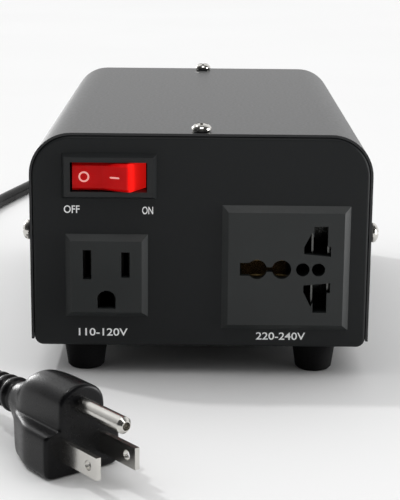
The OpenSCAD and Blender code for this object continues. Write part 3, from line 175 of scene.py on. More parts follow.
def finish(name, rgb, patch, drift, grain, relief, rough, sockets=()):
    """Material whose tone drifts by a share over patches, and whose gloss and relief follow a finer grain.

    patch, grain and relief are real sizes in mm; rough holds the lowest and highest roughness."""
    made, tree = blank(name)
    place = add(tree, "ShaderNodeTexCoord").outputs["Object"]
    cloud = add(tree, "ShaderNodeTexNoise", {"Vector": place, "Scale": 1 / MM / patch, "Detail": 3.0})
    grit = add(tree, "ShaderNodeTexNoise", {"Vector": place, "Scale": 1 / MM / grain, "Detail": 2.0})
    dark, light = (tuple(min(1, c * k) for c in rgb[:3]) for k in (1 - drift, 1 + drift))
    stops = ((NOISE_LOW, dark), (NOISE_HIGH, light))
    tone = add(tree, "ShaderNodeValToRGB", {"Fac": cloud.outputs["Fac"]}, stops)
    spread = {"From Min": NOISE_LOW, "From Max": NOISE_HIGH, "To Min": rough[0], "To Max": rough[1]}
    gloss = add(tree, "ShaderNodeMapRange", {"Value": grit.outputs["Fac"], **spread})
    raised = {"Height": grit.outputs["Fac"], "Strength": GRAIN_STRENGTH, "Distance": relief * MM}
    bump = add(tree, "ShaderNodeBump", raised)
    shader = add(
        tree,
        "ShaderNodeBsdfPrincipled",
        {
            "Base Color": tone.outputs["Color"],
            "Roughness": gloss.outputs["Result"],
            "Normal": bump.outputs["Normal"],
            **dict(sockets),
        },
    )
    add(tree, "ShaderNodeOutputMaterial", {"Surface": shader.outputs["BSDF"]})
    return made


def ringed(name, rgb, centre, spokes, rings, relief, rough, sockets=()):
    """Material with lines round a vertical axis: spokes in a whole turn, or rings in each mm of radius.

    The height is half of one plus the sine of spokes times the angle, or of rings times the radius
    in whole turns."""
    made, tree = blank(name)
    place = add(tree, "ShaderNodeTexCoord").outputs["Object"]
    local = add(tree, "ShaderNodeMapping", {"Vector": place, "Location": tuple(-c * MM for c in centre)})
    axes = add(tree, "ShaderNodeSeparateXYZ", {"Vector": local.outputs["Vector"]})
    angle = add(tree, "ShaderNodeMath", {0: axes.outputs["Y"], 1: axes.outputs["X"]}, operation="ARCTAN2")
    flat = add(tree, "ShaderNodeCombineXYZ", {"X": axes.outputs["X"], "Y": axes.outputs["Y"]})
    radius = add(tree, "ShaderNodeVectorMath", {"Vector": flat.outputs["Vector"]}, operation="LENGTH")
    if spokes:
        turns = {0: angle.outputs["Value"], 1: spokes}
    else:
        turns = {0: radius.outputs["Value"], 1: 2 * math.pi * rings / MM}
    phase = add(tree, "ShaderNodeMath", turns, operation="MULTIPLY")
    wave = add(tree, "ShaderNodeMath", {0: phase.outputs["Value"]}, operation="SINE")
    height = add(tree, "ShaderNodeMapRange", {"Value": wave.outputs["Value"], "From Min": -1.0})
    # The colour darkens towards the grooves: painted shade.
    stops = ((0.1, tuple(GROOVE_PAINTED_SHADE * c for c in rgb[:3])), (0.8, tuple(rgb[:3])))
    tone = add(tree, "ShaderNodeValToRGB", {"Fac": height.outputs["Result"]}, stops)
    bump = add(tree, "ShaderNodeBump", {"Height": height.outputs["Result"], "Distance": relief * MM})
    looks = {"Base Color": tone.outputs["Color"], "Normal": bump.outputs["Normal"], "Roughness": rough}
    shader = add(tree, "ShaderNodeBsdfPrincipled", {**looks, **dict(sockets)})
    add(tree, "ShaderNodeOutputMaterial", {"Surface": shader.outputs["BSDF"]})
    return made


def paint(material, *nodes):
    """Gives solids of the frame a finish."""
    for node in nodes:
        shown = frame["nodes"][node]
        if not shown.material_slots:
            shown.data.materials.append(None)
        for slot in shown.material_slots:
            slot.material = material


def ease(width, *nodes):
    """Rounds the sharp edges of solids of the frame by a width in mm."""
    for node in nodes:
        rim = frame["nodes"][node].modifiers.new("eased_edges", "BEVEL")
        rim.width = width * MM
        rim.segments = 2
        rim.limit_method = "ANGLE"
        rim.angle_limit = math.radians(35)


def quads(rows, columns, wrap=True):
    """Faces of a grid of points; with wrap the last column joins the first."""
    i, j = np.meshgrid(np.arange(rows - 1), np.arange(columns if wrap else columns - 1), indexing="ij")
    k = (j + 1) % columns
    here, after = i * columns, (i + 1) * columns
    return np.stack([here + j, here + k, after + k, after + j], -1).reshape(-1, 4)


def piece(name, points, faces, material, body, smooth=True):
    """Mesh object at the origin from points in mm, riding on a body of the frame."""
    mesh = bpy.data.meshes.new(name)
    mesh.from_pydata((np.asarray(points) * MM).tolist(), [], [list(f) for f in faces])
    mesh.polygons.foreach_set("use_smooth", np.full(len(mesh.polygons), smooth))
    mesh.materials.append(material)
    made = bpy.data.objects.new(name, mesh)
    bpy.context.scene.collection.objects.link(made)
    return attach(made, body)


def closed_rings(rings):
    """Points and faces of a skin over rings (n, m, 3), closed at both ends on the rings' centres."""
    n, m = rings.shape[:2]
    points = np.concatenate([rings.reshape(-1, 3), rings[0].mean(0)[None], rings[-1].mean(0)[None]])
    j = np.arange(m)
    k = (j + 1) % m
    first = np.stack([k, j, np.full(m, n * m)], -1)
    last = np.stack([(n - 1) * m + j, (n - 1) * m + k, np.full(m, n * m + 1)], -1)
    return points, [*quads(n, m).tolist(), *first.tolist(), *last.tolist()]


def smoothed(points, steps):
    """Curve through the points: between two of them runs the cubic whose slopes come from the points
    on either side."""
    p = np.concatenate([[2 * points[0] - points[1]], points, [2 * points[-1] - points[-2]]])
    a, b, c, d = p[:-3, None], p[1:-2, None], p[2:-1, None], p[3:, None]
    t = (np.arange(steps) / steps)[None, :, None]
    curve = (2 * b + (c - a) * t + (2 * a - 5 * b + 4 * c - d) * t**2 + (3 * b - a - 3 * c + d) * t**3) / 2
    return np.concatenate([curve.reshape(-1, 3), points[-1:]])


# Height of the camera's sensor in mm, and the nearest and furthest that it sees in metres.
SENSOR_H = 36
SEEN_FROM, SEEN_TO = 0.01, 20
# Floor in mm: half its width, the points along a side, and its height just under the feet.
FLOOR_HALF = 6000
FLOOR_POINTS = 9
FLOOR_Z = -0.05
# Surround, by the y and z of a direction of length one: where the light on matt surfaces rises from the
# room's to the backdrop's, where what shiny ones mirror does so, and the height from which it is full.
MATT_ROOM, MATT_BACK = -0.6, 0.1
SHINY_ROOM, SHINY_BACK = 0.05, 0.5
FULL_HEIGHT = 0.6
# Way the key light shines and its spread, and in metres the width of a soft light, and where each is and
# which way it shines.
KEY_AWAY = np.array([1.04, -0.62, -1.64])
KEY_SPREAD = math.radians(3)
SOFT_SIZE = 0.3
SOFT_LIGHTS = (
    ("side", (0.48, -0.13, 0.06), (-0.43, 0.03, -0.03)),
    ("back", (-0.62, 0.8, 0.28), (0.57, -0.8, -0.2)),
    ("top", (0.02, -0.31, 0.62), (0.0, 0.2, -0.57)),
)


class CONVERTER_OT_studio(bpy.types.Operator):
    """White floor, surround, key light, three soft lights and camera"""

    bl_idname = "converter.studio"
    bl_label = "Studio"

    def execute(self, context):
        studio = context.scene.converter_studio
        scene = context.scene
        scene.view_settings.view_transform = "Standard"
        ahead = np.array([math.sin(studio.yaw), math.cos(studio.yaw), 0])
        side = np.array([math.cos(studio.yaw), -math.sin(studio.yaw), 0])
        f = math.cos(studio.pitch) * ahead - math.sin(studio.pitch) * np.array([0, 0, 1])
        up = np.cross(side, f)
        right = math.cos(studio.roll) * side + math.sin(studio.roll) * up
        over = math.cos(studio.roll) * up - math.sin(studio.roll) * side
        lens = bpy.data.cameras.new("camera")
        lens.lens = studio.lens
        lens.sensor_fit = "VERTICAL"
        lens.sensor_height = SENSOR_H
        lens.clip_start = SEEN_FROM
        lens.clip_end = SEEN_TO
        camera = bpy.data.objects.new("camera", lens)
        turn = Matrix(np.stack([right, over, -f], 1).tolist())
        camera.matrix_world = Matrix.Translation(studio.eye) @ turn.to_4x4()
        scene.collection.objects.link(camera)
        scene.camera = camera

        # Matt white paper floor, its colour drifting a little over a hand's breadth.
        paper = finish(
            "white_paper_floor", linear("f2f2f2"),
            patch=300, drift=0.01, grain=2, relief=0.01,
            rough=(0.8, 0.9), sockets={"Specular IOR Level": 0.1},
        )
        grid = np.linspace(-FLOOR_HALF, FLOOR_HALF, FLOOR_POINTS)
        x, y = np.meshgrid(grid, grid, indexing="ij")
        mesh = bpy.data.meshes.new("floor")
        points = np.stack([x, y, np.full_like(x, FLOOR_Z)], -1).reshape(-1, 3) * MM
        mesh.from_pydata(points.tolist(), [], quads(FLOOR_POINTS, FLOOR_POINTS, False)[:, ::-1].tolist())
        mesh.materials.append(paper)
        floor = bpy.data.objects.new("floor", mesh)
        scene.collection.objects.link(floor)

        world = bpy.data.worlds.new("white_surround")
        scene.world = world
        world.use_nodes = True
        tree = world.node_tree
        tree.nodes.clear()
        path = add(tree, "ShaderNodeLightPath").outputs
        way = add(tree, "ShaderNodeTexCoord").outputs["Generated"]
        way = add(tree, "ShaderNodeSeparateXYZ", {0: way}).outputs
        # Matt surfaces are lit by the backdrop and from above, and less by the room behind the camera.
        span = {"From Min": MATT_ROOM, "From Max": MATT_BACK}
        span |= {"To Min": studio.room * studio.sky, "To Max": studio.sky}
        matt = add(tree, "ShaderNodeMapRange", {"Value": way["Y"], **span}).outputs["Result"]
        span = {"From Max": FULL_HEIGHT, "To Min": studio.low}
        high = add(tree, "ShaderNodeMapRange", {"Value": way["Z"], **span}).outputs["Result"]
        matt = add(tree, "ShaderNodeMath", {0: matt, 1: high}, operation="MULTIPLY").outputs["Value"]
        # Shiny ones mirror the white backdrop and a dim room before it.
        span = {"From Min": SHINY_ROOM, "From Max": SHINY_BACK, "To Min": studio.dim}
        shiny = add(tree, "ShaderNodeMapRange", {"Value": way["Y"], **span}).outputs["Result"]
        sharp = {0: path["Is Glossy Ray"], 1: path["Is Transmission Ray"]}
        sharp = add(tree, "ShaderNodeMath", sharp, operation="MAXIMUM").outputs["Value"]
        level = add(tree, "ShaderNodeMix", {"Factor": sharp, "A": matt, "B": shiny}).outputs["Result"]
        seen = {0: level, 1: path["Is Camera Ray"]}
        level = add(tree, "ShaderNodeMath", seen, operation="MAXIMUM").outputs["Value"]
        glow = add(tree, "ShaderNodeBackground", {"Color": (1, 1, 1, 1), "Strength": level})
        add(tree, "ShaderNodeOutputWorld", {"Surface": glow.outputs["Background"]})

        key = bpy.data.lights.new("key", "SUN")
        key.energy = studio.sun
        key.angle = KEY_SPREAD
        lamp = bpy.data.objects.new("key", key)
        lamp.matrix_world = look(-KEY_AWAY, KEY_AWAY)
        scene.collection.objects.link(lamp)
        # The soft lights pick out the bevels; shades keep them off the paper.
        shaded = bpy.data.collections.new("shaded_from_soft_lights")
        shaded.objects.link(floor)
        shaded.collection_objects[0].light_linking.link_state = "EXCLUDE"
        powers = (studio.side, studio.back, studio.top)
        for (name, place, away), power in zip(SOFT_LIGHTS, powers):
            soft = bpy.data.lights.new(name, "AREA")
            soft.energy = power
            soft.size = SOFT_SIZE
            panel = bpy.data.objects.new(name, soft)
            panel.matrix_world = look(np.array(place), np.array(away))
            panel.light_linking.receiver_collection = shaded
            scene.collection.objects.link(panel)
        return {"FINISHED"}


def look(place, away):
    """Placing matrix of a lamp at a place, in metres, that shines along a direction."""
    z = -np.asarray(away, float) / np.linalg.norm(away)
    x = np.cross([0, 0, 1], z)
    x /= np.linalg.norm(x)
    turn = Matrix(np.stack([x, np.cross(z, x), z], 1).tolist())
    return Matrix.Translation(place.tolist()) @ turn.to_4x4()


# Place of the middle of the plug's face on the floor, the plug's turn about the vertical, and the height
# of its tail's axis.
PLUG_AT = np.array([-32.0, -184.0])
PLUG_TURN = math.radians(-52)
PLUG_AXIS_Z = 13.0
# Sections of the plug at its face, waist and slope: half width, shoulder, dome's half width, foot and rise.
PLUG_FULL = (12.5, 13.2, 7.4, 19.9, 6.1)
PLUG_WAIST = (9.6, 13.2, 7.3, 19.4, 6.0)
PLUG_SLOPE = (8.2, 13.0, 6.6, 15.6, 6.1)
PLUG_MIDDLE_Z = 12.0
# Lower part of a section, from the sole up the side to the shoulder: shares of half width and shoulder.
PLUG_SIDE = (
    (0, 0), (0.45, 0), (0.8, 0), (0.95, 0.05), (1, 0.16), (1, 0.5), (1, 0.84), (0.97, 0.95), (0.88, 1),
)  # fmt: skip
# Ribbed tail: its radius at the neck, how far behind the face its ribs start and it ends, how much thinner
# it gets, and the ribs' count and spacing.
NECK_R = 5.4
RIBS_FROM = 33.0
TAIL_END = 51.0
TAIL_TAPER = 1.4
RIBS = 4
RIB_STEP = 4.5
# Outline of one rib: share of the spacing, and height over the tail.
RIB = ((0.05, -0.6), (0.15, -0.8), (0.4, -0.8), (0.47, -0.3), (0.55, 0), (0.75, 0.02), (0.95, -0.15))


def from_plug(local):
    """Turns points from the plug's own frame, x out of its face, to the model's frame."""
    c, s = math.cos(PLUG_TURN), math.sin(PLUG_TURN)
    x, y, z = np.moveaxis(np.asarray(local, float), -1, 0)
    return np.stack([PLUG_AT[0] + c * x - s * y, PLUG_AT[1] + s * x + c * y, z], -1)


def domed_half(w, shoulder, dome_w, dome_z, dome_h):
    """Right half of the plug's section: flat sole, upright side and shoulder, a small hollow at the foot of
    the dome, and then a quarter of an ellipse to the top."""
    a = np.linspace(0, math.pi / 2, 6)
    low = np.array(PLUG_SIDE) * [w, shoulder]
    neck = np.array([[dome_w + 0.5, shoulder + 0.15], [dome_w, shoulder + 0.9]])
    dome = np.stack([dome_w * np.cos(a), max(shoulder + 1.5, dome_z) + dome_h * np.sin(a)], -1)
    return np.concatenate([low, neck, dome])


def round_half(r, count=17):
    """Right half of a circle of radius r about the plug's axis, from the bottom up."""
    a = np.linspace(-math.pi / 2, math.pi / 2, count)
    return np.stack([r * np.cos(a), PLUG_AXIS_Z + r * np.sin(a)], -1)


def plug_rings():
    """Rings of the moulded plug from its face to the end of its tail, each a half section and its
    mirror image, with the place of each ring behind the face."""
    full, waist, slope = domed_half(*PLUG_FULL), domed_half(*PLUG_WAIST), domed_half(*PLUG_SLOPE)
    neck = round_half(NECK_R)
    middle = np.array([0, PLUG_MIDDLE_Z])
    body = [(0, middle + (full - middle) * k) for k in (0.3, 0.65, 0.9)]
    body += [(-0.15, middle + (full - middle) * 0.95), (-0.7, full), (-1.6, full), (-6, full), (-11, full)]
    body += [(-13.5, 0.85 * full + 0.15 * waist), (-20, waist), (-23, 0.5 * waist + 0.5 * slope)]
    body += [(-26.5, 0.5 * slope + 0.5 * neck), (-30, 0.15 * slope + 0.85 * neck)]
    tail = []
    for i in range(RIBS):
        x, r = -RIBS_FROM - RIB_STEP * i, NECK_R - TAIL_TAPER * i / RIBS
        tail += [(x - RIB_STEP * share, round_half(r + out)) for share, out in RIB]
    tail += [(0.1 - TAIL_END, round_half(3.7)), (-TAIL_END, round_half(3.4)), (-TAIL_END, round_half(1.6))]
    halves = body + tail
    rings = np.stack([np.concatenate([h, h[-2:0:-1] * [-1, 1]]) for x, h in halves])
    xs = np.broadcast_to(np.array([x for x, h in halves])[:, None, None], (*rings.shape[:2], 1))
    return from_plug(np.concatenate([xs, rings], -1))


class CONVERTER_OT_plug(bpy.types.Operator):
    """Moulded plug with its dome, waist and ribbed tail, its blades and its earth pin"""

    bl_idname = "converter.plug"
    bl_label = "Plug"

    def execute(self, context):
        colours = context.scene.converter_finishes
        # Soft PVC moulded over the pins: satin black, its fine spark-eroded grain drawn at 0.5 mm to show.
        pvc = finish(
            "moulded_pvc_plug", colours.plug,
            patch=15, drift=0.12, grain=0.5, relief=0.02,
            rough=(0.26, 0.36), sockets={"Specular IOR Level": 0.2},
        )
        points, faces = closed_rings(plug_rings()[::-1])
        plug = piece("plug_moulding", points, faces, pvc, "case")
        rounding = plug.modifiers.new("rounding", "SUBSURF")
        rounding.levels = rounding.render_levels = 2
        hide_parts("plug_body")
        # Nickel on brass: bright and slightly warm, with faint drawing marks about 0.25 mm apart.
        nickel = finish(
            "nickel_plated_pins", colours.nickel,
            patch=6, drift=0.05, grain=0.25, relief=0.004,
            rough=(0.16, 0.26), sockets=METAL,
        )
        paint(nickel, "plug_blades", "plug_earth_pin")
        return {"FINISHED"}


# Coil in mm: its middle, the straight bits at its ends and the lift at its tie; points and rise in turns.
COIL_CENTRE = np.array([2.0, 180.0])
COIL_END = 6.0
TIE_LIFT = 1.5
COIL_STEPS = 24
RISE_TURNS = 0.5
# Lead in mm: straight out of the strain relief and into the plug's tail, and the gap left there; then its
# route down to the coil and from the coil round to the tail, and the steps drawn between two points.
LEAD_OUT = 7.0
LEAD_IN = 6.0
LEAD_SEAT = 0.02
LEAD_STEPS = 5
LEAD_DOWN = [[-35, 136, 18.5], [-35, 146, 11.5], [-35, 156, 5.5], [-35, 165, 3.3], [-35, 169, 3]]
LEAD_ROUND = [
    [-35.5, 203, 9], [-36, 214, 7.6], [-37, 226, 6], [-39.5, 238, 4.6], [-46, 248, 3.6], [-56.5, 254.5, 3.1],
    [-69, 255.5, 3], [-78.5, 252, 3], [-84.8, 244, 3], [-88.3, 233, 3], [-91.8, 220.5, 3], [-95.2, 208, 3],
    [-98.7, 195, 3], [-102, 182.5, 3], [-105, 170, 3], [-107.4, 155, 3], [-109, 138, 3], [-109.6, 120, 3],
    [-109.2, 101, 3], [-108, 82, 3], [-106.2, 63, 3], [-104.4, 44, 3], [-102.6, 25, 3], [-100.7, 6, 3],
    [-98.6, -14, 3], [-96.2, -35, 3], [-93.8, -56, 3], [-91.2, -76, 3], [-87.5, -95, 3.4], [-84, -110, 5.5],
    [-79.5, -121.5, 8.5], [-74.5, -130, 11.2],
]  # fmt: skip


def coil_points(radius, pitch, turns, lead_r, steps):
    """Coil: the angle runs back once a turn, the radius shrinks by a pitch a turn to the middle and grows
    again, and the height rises by one pitch in a smooth step while the spiral turns about.

    At the tie the lead lies higher, by a bump with the eighth power of a cosine."""
    s = np.arange(turns * steps + 1) / steps
    a = math.pi - 2 * math.pi * s
    r = radius - pitch * (turns / 2 - np.abs(s - turns / 2))
    t = np.clip((s - turns / 2) / RISE_TURNS + 0.5, 0, 1)
    bridge = TIE_LIFT * np.maximum(0, np.cos(a - math.pi / 2)) ** 8
    z = lead_r + pitch * t * t * (3 - 2 * t) + bridge
    return np.stack([COIL_CENTRE[0] + r * np.cos(a), COIL_CENTRE[1] + r * np.sin(a), z], -1)


class CONVERTER_OT_lead(bpy.types.Operator):
    """Mains lead from the strain relief through its coil to the plug"""

    bl_idname = "converter.lead"
    bl_label = "Mains lead"

    def execute(self, context):
        sizes = context.scene.converter_sizes
        colours = context.scene.converter_finishes
        low, high = corners("cord_gland")
        exit_at = np.array([(low[0] + high[0]) / 2, high[1], (low[2] + high[2]) / 2])
        coil = coil_points(sizes.coil_r, sizes.coil_pitch, sizes.coil_turns, sizes.lead_d / 2, COIL_STEPS)
        start, end = coil[0] - [0, COIL_END, 0], coil[-1] + [0, COIL_END, 0]
        tail = from_plug([[-TAIL_END - LEAD_IN, 0, PLUG_AXIS_Z], [-TAIL_END - LEAD_SEAT, 0, PLUG_AXIS_Z]])
        after = end + [0, LEAD_IN, 0]
        out = exit_at + [0, LEAD_OUT, 0]
        route = np.concatenate([[exit_at, out], LEAD_DOWN, [start], coil, [end, after], LEAD_ROUND, tail])
        line = smoothed(route, LEAD_STEPS)
        curve = bpy.data.curves.new("mains_lead", "CURVE")
        curve.dimensions = "3D"
        curve.bevel_depth = sizes.lead_d / 2 * MM
        curve.bevel_resolution = 5
        curve.use_fill_caps = True
        spline = curve.splines.new("POLY")
        spline.points.add(len(line) - 1)
        spline.points.foreach_set("co", np.concatenate([line * MM, np.ones((len(line), 1))], 1).ravel())
        spline.use_smooth = True
        lead = bpy.data.objects.new("mains_lead", curve)
        context.scene.collection.objects.link(lead)
        # Extruded PVC sheath: glossy black with a soft ripple a few millimetres long from the extruder.
        sheath = finish(
            "extruded_pvc_sheath", colours.lead,
            patch=9, drift=0.15, grain=4, relief=0.03,
            rough=(0.2, 0.3), sockets={"Specular IOR Level": 0.06},
        )
        curve.materials.append(sheath)
        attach(lead, "case")
        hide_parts("cord_lead", "cord_coil", "cord_run")
        # Softer PVC moulded over the strain relief: duller than the sheath, with a fine grain.
        relief = finish(
            "moulded_pvc_strain_relief", colours.lead,
            patch=12, drift=0.12, grain=0.6, relief=0.02,
            rough=(0.36, 0.46), sockets={"IOR": 1.53},
        )
        paint(relief, "cord_gland")
        # Extruded polyethylene: a dark, waxy tie with a slight ripple.
        tie = finish(
            "polyethylene_tie", linear("141415"),
            patch=5, drift=0.15, grain=0.8, relief=0.03,
            rough=(0.4, 0.5), sockets={"IOR": 1.51},
        )
        paint(tie, "cord_tie")
        return {"FINISHED"}


class CONVERTER_OT_case(bpy.types.Operator):
    """Painted chassis and cover on rubber feet"""

    bl_idname = "converter.case"
    bl_label = "Case"

    def execute(self, context):
        colours = context.scene.converter_finishes
        # Satin powder coat on steel: baked resin, an even black with a faint ripple a millimetre across.
        cover = finish(
            "satin_powder_coat_cover", colours.cover,
            patch=60, drift=0.06, grain=1.0, relief=0.006,
            rough=(0.36, 0.42), sockets={"IOR": 1.5},
        )
        panel = finish(
            "satin_powder_coat_panel", colours.panel,
            patch=60, drift=0.06, grain=1.0, relief=0.006,
            rough=(0.5, 0.58), sockets={"Specular IOR Level": 0.25},
        )
        paint(cover, "top_cover")
        paint(panel, "chassis")
        # Moulded natural rubber: dead matt black with a bloom that varies over a few millimetres.
        rubber = finish(
            "moulded_rubber_feet", colours.rubber,
            patch=4, drift=0.25, grain=0.6, relief=0.03,
            rough=(0.68, 0.82), sockets={"Specular IOR Level": 0.15},
        )
        paint(rubber, "foot_front_left", "foot_front_right", "foot_rear_left", "foot_rear_right")
        return {"FINISHED"}


class CONVERTER_OT_fasteners(bpy.types.Operator):
    """Nickel-plated cover screws and zinc-plated inner screws and nuts"""

    bl_idname = "converter.fasteners"
    bl_label = "Fasteners"

    def execute(self, context):
        colours = context.scene.converter_finishes
        # Nickel plate on cold-headed steel: bright, slightly warm, with fine die marks.
        nickel = finish(
            "nickel_plated_screws", colours.nickel,
            patch=3, drift=0.08, grain=0.2, relief=0.004,
            rough=(0.1, 0.2), sockets=METAL,
        )
        paint(nickel, "cover_screws")
        # Blue zinc plate: greyer, with a cloudy passivated bloom.
        zinc = finish(
            "zinc_plated_steel", linear("b7b9bb"),
            patch=2.5, drift=0.12, grain=0.3, relief=0.008,
            rough=(0.34, 0.5), sockets=METAL,
        )
        paint(zinc, "foot_screws", "foot_nuts", "selector_screws", "fuse_nut", "earth_screw")
        return {"FINISHED"}


def ring_mark(centre, radius, stroke, height):
    """Raised ring on a wall: a flat ellipse carried round a circle, its tall axis out of the wall (-Y)."""
    t = np.linspace(0, 2 * math.pi, 49)[:-1, None]
    a = np.linspace(0, 2 * math.pi, 13)[None, :-1]
    r = radius + stroke / 2 * np.cos(a)
    points = np.stack([r * np.cos(t), -height * np.sin(a) + 0 * t, r * np.sin(t)], -1) + np.asarray(centre)
    faces = quads(49, 12)
    return points.reshape(-1, 3), faces % points[..., 0].size


def bar_mark(centre, along, length, stroke, height):
    """Raised bar: the superellipsoid of power four over its length, stroke and height, along a direction."""
    u = np.linspace(-math.pi / 2, math.pi / 2, 14)[1:-1, None]
    v = np.linspace(0, 2 * math.pi, 25)[None, :-1]
    waves = [np.sin(u) + 0 * v, np.cos(u) * np.cos(v), np.cos(u) * np.sin(v)]
    p = np.stack([np.sign(w) * np.sqrt(np.abs(w)) for w in waves], -1)
    along = np.asarray(along, float) / np.linalg.norm(along)
    out = np.array([along[1], -along[0], 0])
    half = np.array([length, height * 2, stroke]) / 2
    points = (p * half) @ np.stack([along, out, [0, 0, 1]]) + np.asarray(centre)
    return closed_rings(points)


# Rocker's plastic: its clouds' size in mm and share of the tone, and the painted light on the end wall: its
# lighter tone and its painted glow.
CLOUD = 4.0
CLOUD_SHARE = 0.3
PAINTED_LIT_TONE = 0.75
PAINTED_GLOW = 0.6


def tinted_with_painted_glow(name, rgb, start, end):
    """Tinted polycarbonate with clouds a few millimetres across, and painted light on its end wall: its tone
    lightens and a painted glow rises in a smooth step along +X from start to end, in metres."""
    made, tree = blank(name)
    place = add(tree, "ShaderNodeTexCoord").outputs["Object"]
    cloud = add(tree, "ShaderNodeTexNoise", {"Vector": place, "Scale": 1 / MM / CLOUD, "Detail": 2.0})
    along = add(tree, "ShaderNodeSeparateXYZ", {0: place}).outputs["X"]
    painted_glow_mask = {"Value": along, "From Min": start, "From Max": end, "To Max": PAINTED_LIT_TONE}
    painted_glow_mask = add(tree, "ShaderNodeMapRange", painted_glow_mask, interpolation_type="SMOOTHSTEP").outputs["Result"]
    share = {0: cloud.outputs["Fac"], 1: CLOUD_SHARE, 2: painted_glow_mask}
    mixed = add(tree, "ShaderNodeMath", share, operation="MULTIPLY_ADD").outputs["Value"]
    # Lighter red of the painted light on the end wall, also the colour of its painted glow.
    light = linear("f51c17")
    stops = ((0.1, tuple(rgb[:3])), (0.9, light))
    tone = add(tree, "ShaderNodeValToRGB", {"Fac": mixed}, stops).outputs["Color"]
    sockets = {"Base Color": tone, "Roughness": 0.2, "Specular IOR Level": 0.1}
    sockets |= {"Subsurface Weight": 0.4, "Subsurface Radius": (1, 0.1, 0.06), "Subsurface Scale": 0.004}
    # Painted glow: the end wall emits light along the same step.
    glow = add(tree, "ShaderNodeMath", {0: painted_glow_mask, 1: PAINTED_GLOW}, operation="MULTIPLY").outputs["Value"]
    sockets |= {"Emission Color": (*light, 1), "Emission Strength": glow}
    shader = add(tree, "ShaderNodeBsdfPrincipled", sockets)
    add(tree, "ShaderNodeOutputMaterial", {"Surface": shader.outputs["BSDF"]})
    return made


# Rocker in mm from the switch's middle: the end wall with painted light and glow, the ring's place and
# radius, the bar's place along its half and length, the marks' height, and how far the pressed half stands
# out of the panel.
PAINTED_GLOW_FROM, PAINTED_GLOW_TO = 5.6, 7.6
RING_AT, RING_R = -8.1, 1.5
BAR_AT, BAR_LENGTH = 4.7, 3.5
MARK_H = 0.06
PRESSED_OUT = 1.2


class CONVERTER_OT_switch(bpy.types.Operator):
    """Rocker switch: frame, translucent rocker, printed marks and what is inside"""

    bl_idname = "converter.switch"
    bl_label = "Rocker switch"

    def execute(self, context):
        colours = context.scene.converter_finishes
        sizes = context.scene.converter_sizes
        low, high = corners("switch_housing")
        x0, z0 = (low[0] + high[0]) / 2, (low[2] + high[2]) / 2
        # Glass-filled nylon frame: dark grey with a fine spark-eroded grain, drawn at 0.4 mm to show.
        nylon = finish(
            "moulded_nylon_frame", colours.frame,
            patch=8, drift=0.08, grain=0.4, relief=0.015,
            rough=(0.4, 0.5), sockets={"Specular IOR Level": 0.35},
        )
        paint(nylon, "switch_housing")
        ease(0.25, "switch_housing")
        # Tinted polycarbonate: clear, glossy red, with painted light and a painted glow on its end wall.
        red = tinted_with_painted_glow("tinted_polycarbonate_rocker_painted_glow", colours.rocker, (x0 + PAINTED_GLOW_FROM) * MM, (x0 + PAINTED_GLOW_TO) * MM)
        paint(red, "rocker")
        ease(0.3, "rocker")
        # Printed ink on the rocker: matt, pinkish white, with a painted red glow.
        ink_painted_glow = {"IOR": 1.5, "Emission Color": (*linear("f06058"), 1), "Emission Strength": 0.35}
        ink = finish(
            "pad_printed_mark_painted_glow", linear("ffc9c0"),
            patch=2, drift=0.05, grain=0.2, relief=0.004,
            rough=(0.45, 0.6), sockets=ink_painted_glow,
        )
        pressed_y = corners("chassis")[0][1] - PRESSED_OUT
        points, faces = ring_mark([x0 + RING_AT, pressed_y, z0], RING_R, sizes.mark_w, MARK_H)
        piece("rocker_mark_off", points, faces, ink, "rocker")
        # The halves of the face meet where a turn by the tilt about the pivot has put the rocker's middle.
        slope = np.array([math.cos(2 * sizes.tilt), -math.sin(2 * sizes.tilt), 0])
        foot = np.array([x0 - sizes.pivot * math.tan(sizes.tilt), pressed_y, z0])
        points, faces = bar_mark(foot + slope * BAR_AT, slope, BAR_LENGTH, sizes.mark_w, MARK_H)
        piece("rocker_mark_on", points, faces, ink, "rocker")
        # Natural nylon plunger: milky cream with a satin moulded skin.
        natural = finish(
            "natural_nylon_plunger", linear("d6d0bd"),
            patch=3, drift=0.05, grain=0.4, relief=0.01,
            rough=(0.4, 0.5), sockets={"IOR": 1.53},
        )
        paint(natural, "rocker_plunger")
        # Drawn spring steel: bright grey wire with fine lines from the die.
        spring = finish(
            "spring_steel_wire", linear("a7a8a6"),
            patch=2, drift=0.1, grain=0.15, relief=0.01,
            rough=(0.25, 0.35), sockets=METAL,
        )
        paint(spring, "rocker_spring")
        # Blown glass lamp: clear, smooth and faintly warm.
        lamp = finish(
            "neon_lamp_glass", linear("f3d9c0"),
            patch=2, drift=0.04, grain=0.5, relief=0.004,
            rough=(0.03, 0.08), sockets={"Transmission Weight": 0.9},
        )
        paint(lamp, "neon_lamp")
        # Rolled brass strip: a dull yellow, darkened as painted shade, with a fine rolled grain.
        brass = finish(
            "rolled_brass_contacts", colours.brass,
            patch=3, drift=0.1, grain=0.25, relief=0.006,
            rough=(0.28, 0.4), sockets=METAL,
        )
        paint(brass, "contact_arm", "switch_terminals")
        return {"FINISHED"}


